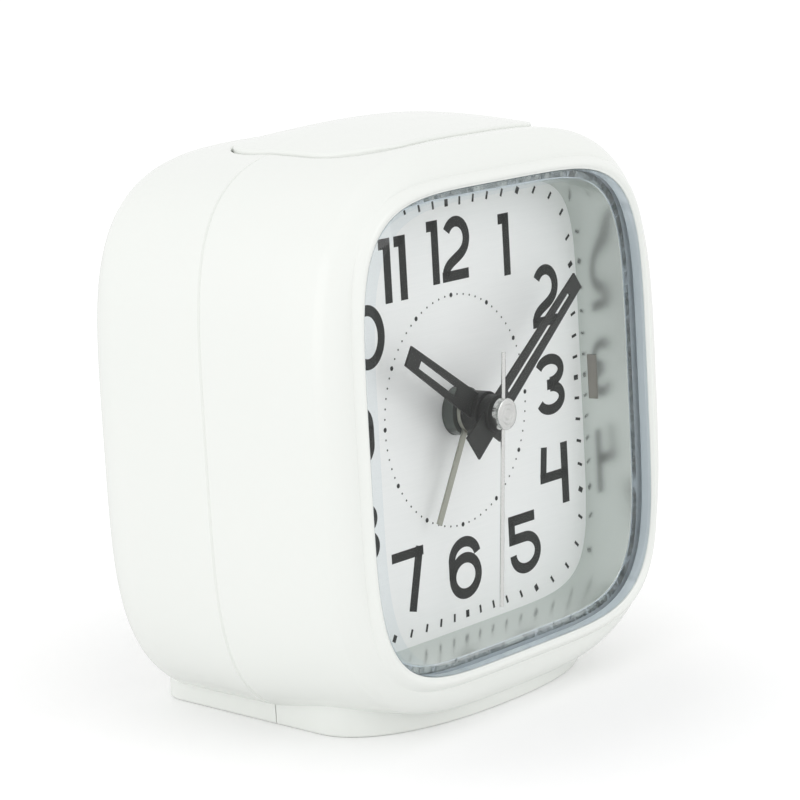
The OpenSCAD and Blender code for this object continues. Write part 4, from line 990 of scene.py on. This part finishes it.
# Grey polystyrene: a plain dull moulding.
dress(plain_material("Grey polystyrene", "#b4b4b0", "#bebeba", 3, 0.45), "movement_cover", "snooze_switch")
# Natural nylon: cream, waxy and dull.
dress(plain_material("Natural nylon", "#e2dccb", "#ebe6d8", 1, 0.4), "fifth_wheel", "second_wheel",
      "third_wheel", "centre_wheel", "motion_wheel", "hour_wheel", "alarm_wheel", "alarm_setting_pinion")
# Bonded magnet: dark grey and granular.
dress(plain_material("Bonded magnet", "#2c2d30", "#3c3d40", 0.1, 0.5, 0.3), "rotor")
# Solder mask on glass fibre: mid green with a soft gloss.
dress(plain_material("Green solder mask", "#1d5a38", "#266a44", 0.6, 0.3), "circuit_board")
# Enamelled copper wire: warm brown-orange with a bright gloss.
dress(plain_material("Enamelled copper wire", "#a5623a", "#b97247", 0.15, 0.3, 0.7), "coil")
# Nickel-plated steel: bright, with a slightly uneven gloss.
nickel_steel = plain_material("Nickel-plated steel", "#b2b2b0", "#c0c0be", 0.4, 0.3, 1.0)
dress(nickel_steel, "stator", "plus_contact", "minus_contact", "case_screws", "movement_screws")
# Black polystyrene: the buzzer's plain can.
dress(plain_material("Black polystyrene", "#1a1a1a", "#222222", 1, 0.4), "buzzer")
# Bare cell sleeve: plain grey metal foil.
dress(plain_material("Grey cell sleeve", "#888a8c", "#929496", 2, 0.35, 0.6), "battery_cell")


# Return springs
# Two coils of plated spring wire between the shelf in the case and the push bar. They lift the bar,
# and in the clock they shorten when it is pressed; here they are one fixed piece on the case.
SHELF_Y = CASE_B - 10.3
SPRING_TOP = BAR_FLOOR + 1.58
SPRING_X = 19.0
SPRING_Z = -22.0
SPRING_R = 2.75
WIRE_R = 0.3
WIRE_STEPS = 120
coils = []
for side in (-1, 1):
    wire_rings = []
    for i in range(WIRE_STEPS + 1):
        turn = math.radians(15 * i)
        level = mix(SHELF_Y + WIRE_R, SPRING_TOP - WIRE_R, i / WIRE_STEPS)
        ring = []
        for k in range(10):
            round_wire = math.radians(36 * k)
            reach = SPRING_R + WIRE_R * math.cos(round_wire)
            ring.append((side * SPRING_X + reach * math.cos(turn), level + WIRE_R * math.sin(round_wire),
                         SPRING_Z + reach * math.sin(turn)))
        wire_rings.append(ring)
    coils.append(skin("bar_springs", wire_rings))
springs = coils[0]
combine(springs, "UNION", coils[1])
seat(springs, nickel_steel, "case", "steel", "push_bar_springs")
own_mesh(springs)


# Floor, light and camera
# A pale table under soft studio light from all round, with a wide softbox on each side. The camera stands
# to the left of the clock and a little above it, with a long lens.
CAMERA_AZIMUTH = -52.17
CAMERA_ELEVATION = 11.96
CAMERA_DISTANCE = 538.28
CAMERA_LEFT = 9.78
CAMERA_UP = 1.77
SENSOR_W = 36
IMAGE_PX = 800
FOCAL_PX = 3135.3
floor = new_piece("floor", [(-4, -4, 0), (4, -4, 0), (4, 4, 0), (-4, 4, 0)], [(0, 1, 2, 3)])

# White paint on the table: matt, takes the clock's soft shadow and fades into the white backdrop.
table_white, tree = new_material("White table top")
paint = add_node(tree, "ShaderNodeBsdfDiffuse", {"Color": linear("#f4f4f4")})
rays = add_node(tree, "ShaderNodeLightPath")
place = add_node(tree, "ShaderNodeTexCoord").outputs["Object"]
away = add_node(tree, "ShaderNodeVectorMath", {0: place}, operation="LENGTH")
haze = add_node(tree, "ShaderNodeMapRange", {"Value": away.outputs["Value"], "From Min": 0.05,
                                             "From Max": 0.11, "To Min": 0.13, "To Max": 0.3})
lift = add_node(tree, "ShaderNodeEmission", {"Color": (1, 1, 1, 1), "Strength": haze.outputs["Result"]})
dark = add_node(tree, "ShaderNodeEmission", {"Color": (0, 0, 0, 1), "Strength": 0})
seen = add_node(tree, "ShaderNodeMixShader", {
    0: rays.outputs["Is Camera Ray"], 1: dark.outputs[0], 2: lift.outputs[0]})
total = add_node(tree, "ShaderNodeAddShader", {0: paint.outputs[0], 1: seen.outputs[0]})
add_node(tree, "ShaderNodeOutputMaterial", {"Surface": total.outputs[0]})
floor.data.materials.append(table_white)

# Studio light: even from all round, and plain white where the camera looks past the table, straight, in
# a mirror or through a clear piece.
world = bpy.data.worlds.new("Studio")
bpy.context.scene.world = world
world.use_nodes = True
tree = world.node_tree
tree.nodes.clear()
rays = add_node(tree, "ShaderNodeLightPath")
mirror = add_node(tree, "ShaderNodeMath", {0: rays.outputs["Is Glossy Ray"],
                                           1: rays.outputs["Is Transmission Ray"]}, operation="MAXIMUM")
shown = add_node(tree, "ShaderNodeMath", {0: rays.outputs["Is Camera Ray"], 1: mirror.outputs[0]},
                 operation="MAXIMUM")
soft = add_node(tree, "ShaderNodeBackground", {"Color": (1, 1, 1, 1), "Strength": 0.88})
white = add_node(tree, "ShaderNodeBackground", {"Color": (1, 1, 1, 1), "Strength": 1})
backdrop = add_node(tree, "ShaderNodeMixShader", {
    0: shown.outputs[0], 1: soft.outputs[0], 2: white.outputs[0]})
add_node(tree, "ShaderNodeOutputWorld", {"Surface": backdrop.outputs[0]})

for name, spot, size, watts in (("Left softbox", (-0.95, 0.05, 0.35), 0.9, 1.9),
                                ("Right softbox", (0.3, -0.85, 0.5), 0.5, 0.95)):
    lamp = bpy.data.lights.new(name, "AREA")
    lamp.shape = "SQUARE"
    lamp.size = size
    lamp.energy = watts
    box = bpy.data.objects.new(name, lamp)
    bpy.context.scene.collection.objects.link(box)
    box.location = spot
    box.rotation_euler = (Vector((0, 0, 0.05)) - Vector(spot)).to_track_quat("-Z", "Y").to_euler()

azimuth = math.radians(CAMERA_AZIMUTH)
elevation = math.radians(CAMERA_ELEVATION)
back = Vector((math.sin(azimuth) * math.cos(elevation), -math.cos(azimuth) * math.cos(elevation),
               math.sin(elevation)))
right = Vector((math.cos(azimuth), math.sin(azimuth), 0))
up = back.cross(right)
photo_lens = bpy.data.cameras.new("Photo lens")
photo_lens.sensor_width = SENSOR_W
photo_lens.lens = FOCAL_PX / IMAGE_PX * SENSOR_W
photo_lens.clip_start = 0.01
camera = bpy.data.objects.new("Camera", photo_lens)
bpy.context.scene.collection.objects.link(camera)
camera.location = stand(0, 0, 0) + (back * CAMERA_DISTANCE - right * CAMERA_LEFT + up * CAMERA_UP) * MM
camera.rotation_euler = back.to_track_quat("Z", "Y").to_euler()
bpy.context.scene.camera = camera
bpy.context.scene.view_settings.view_transform = "Standard"
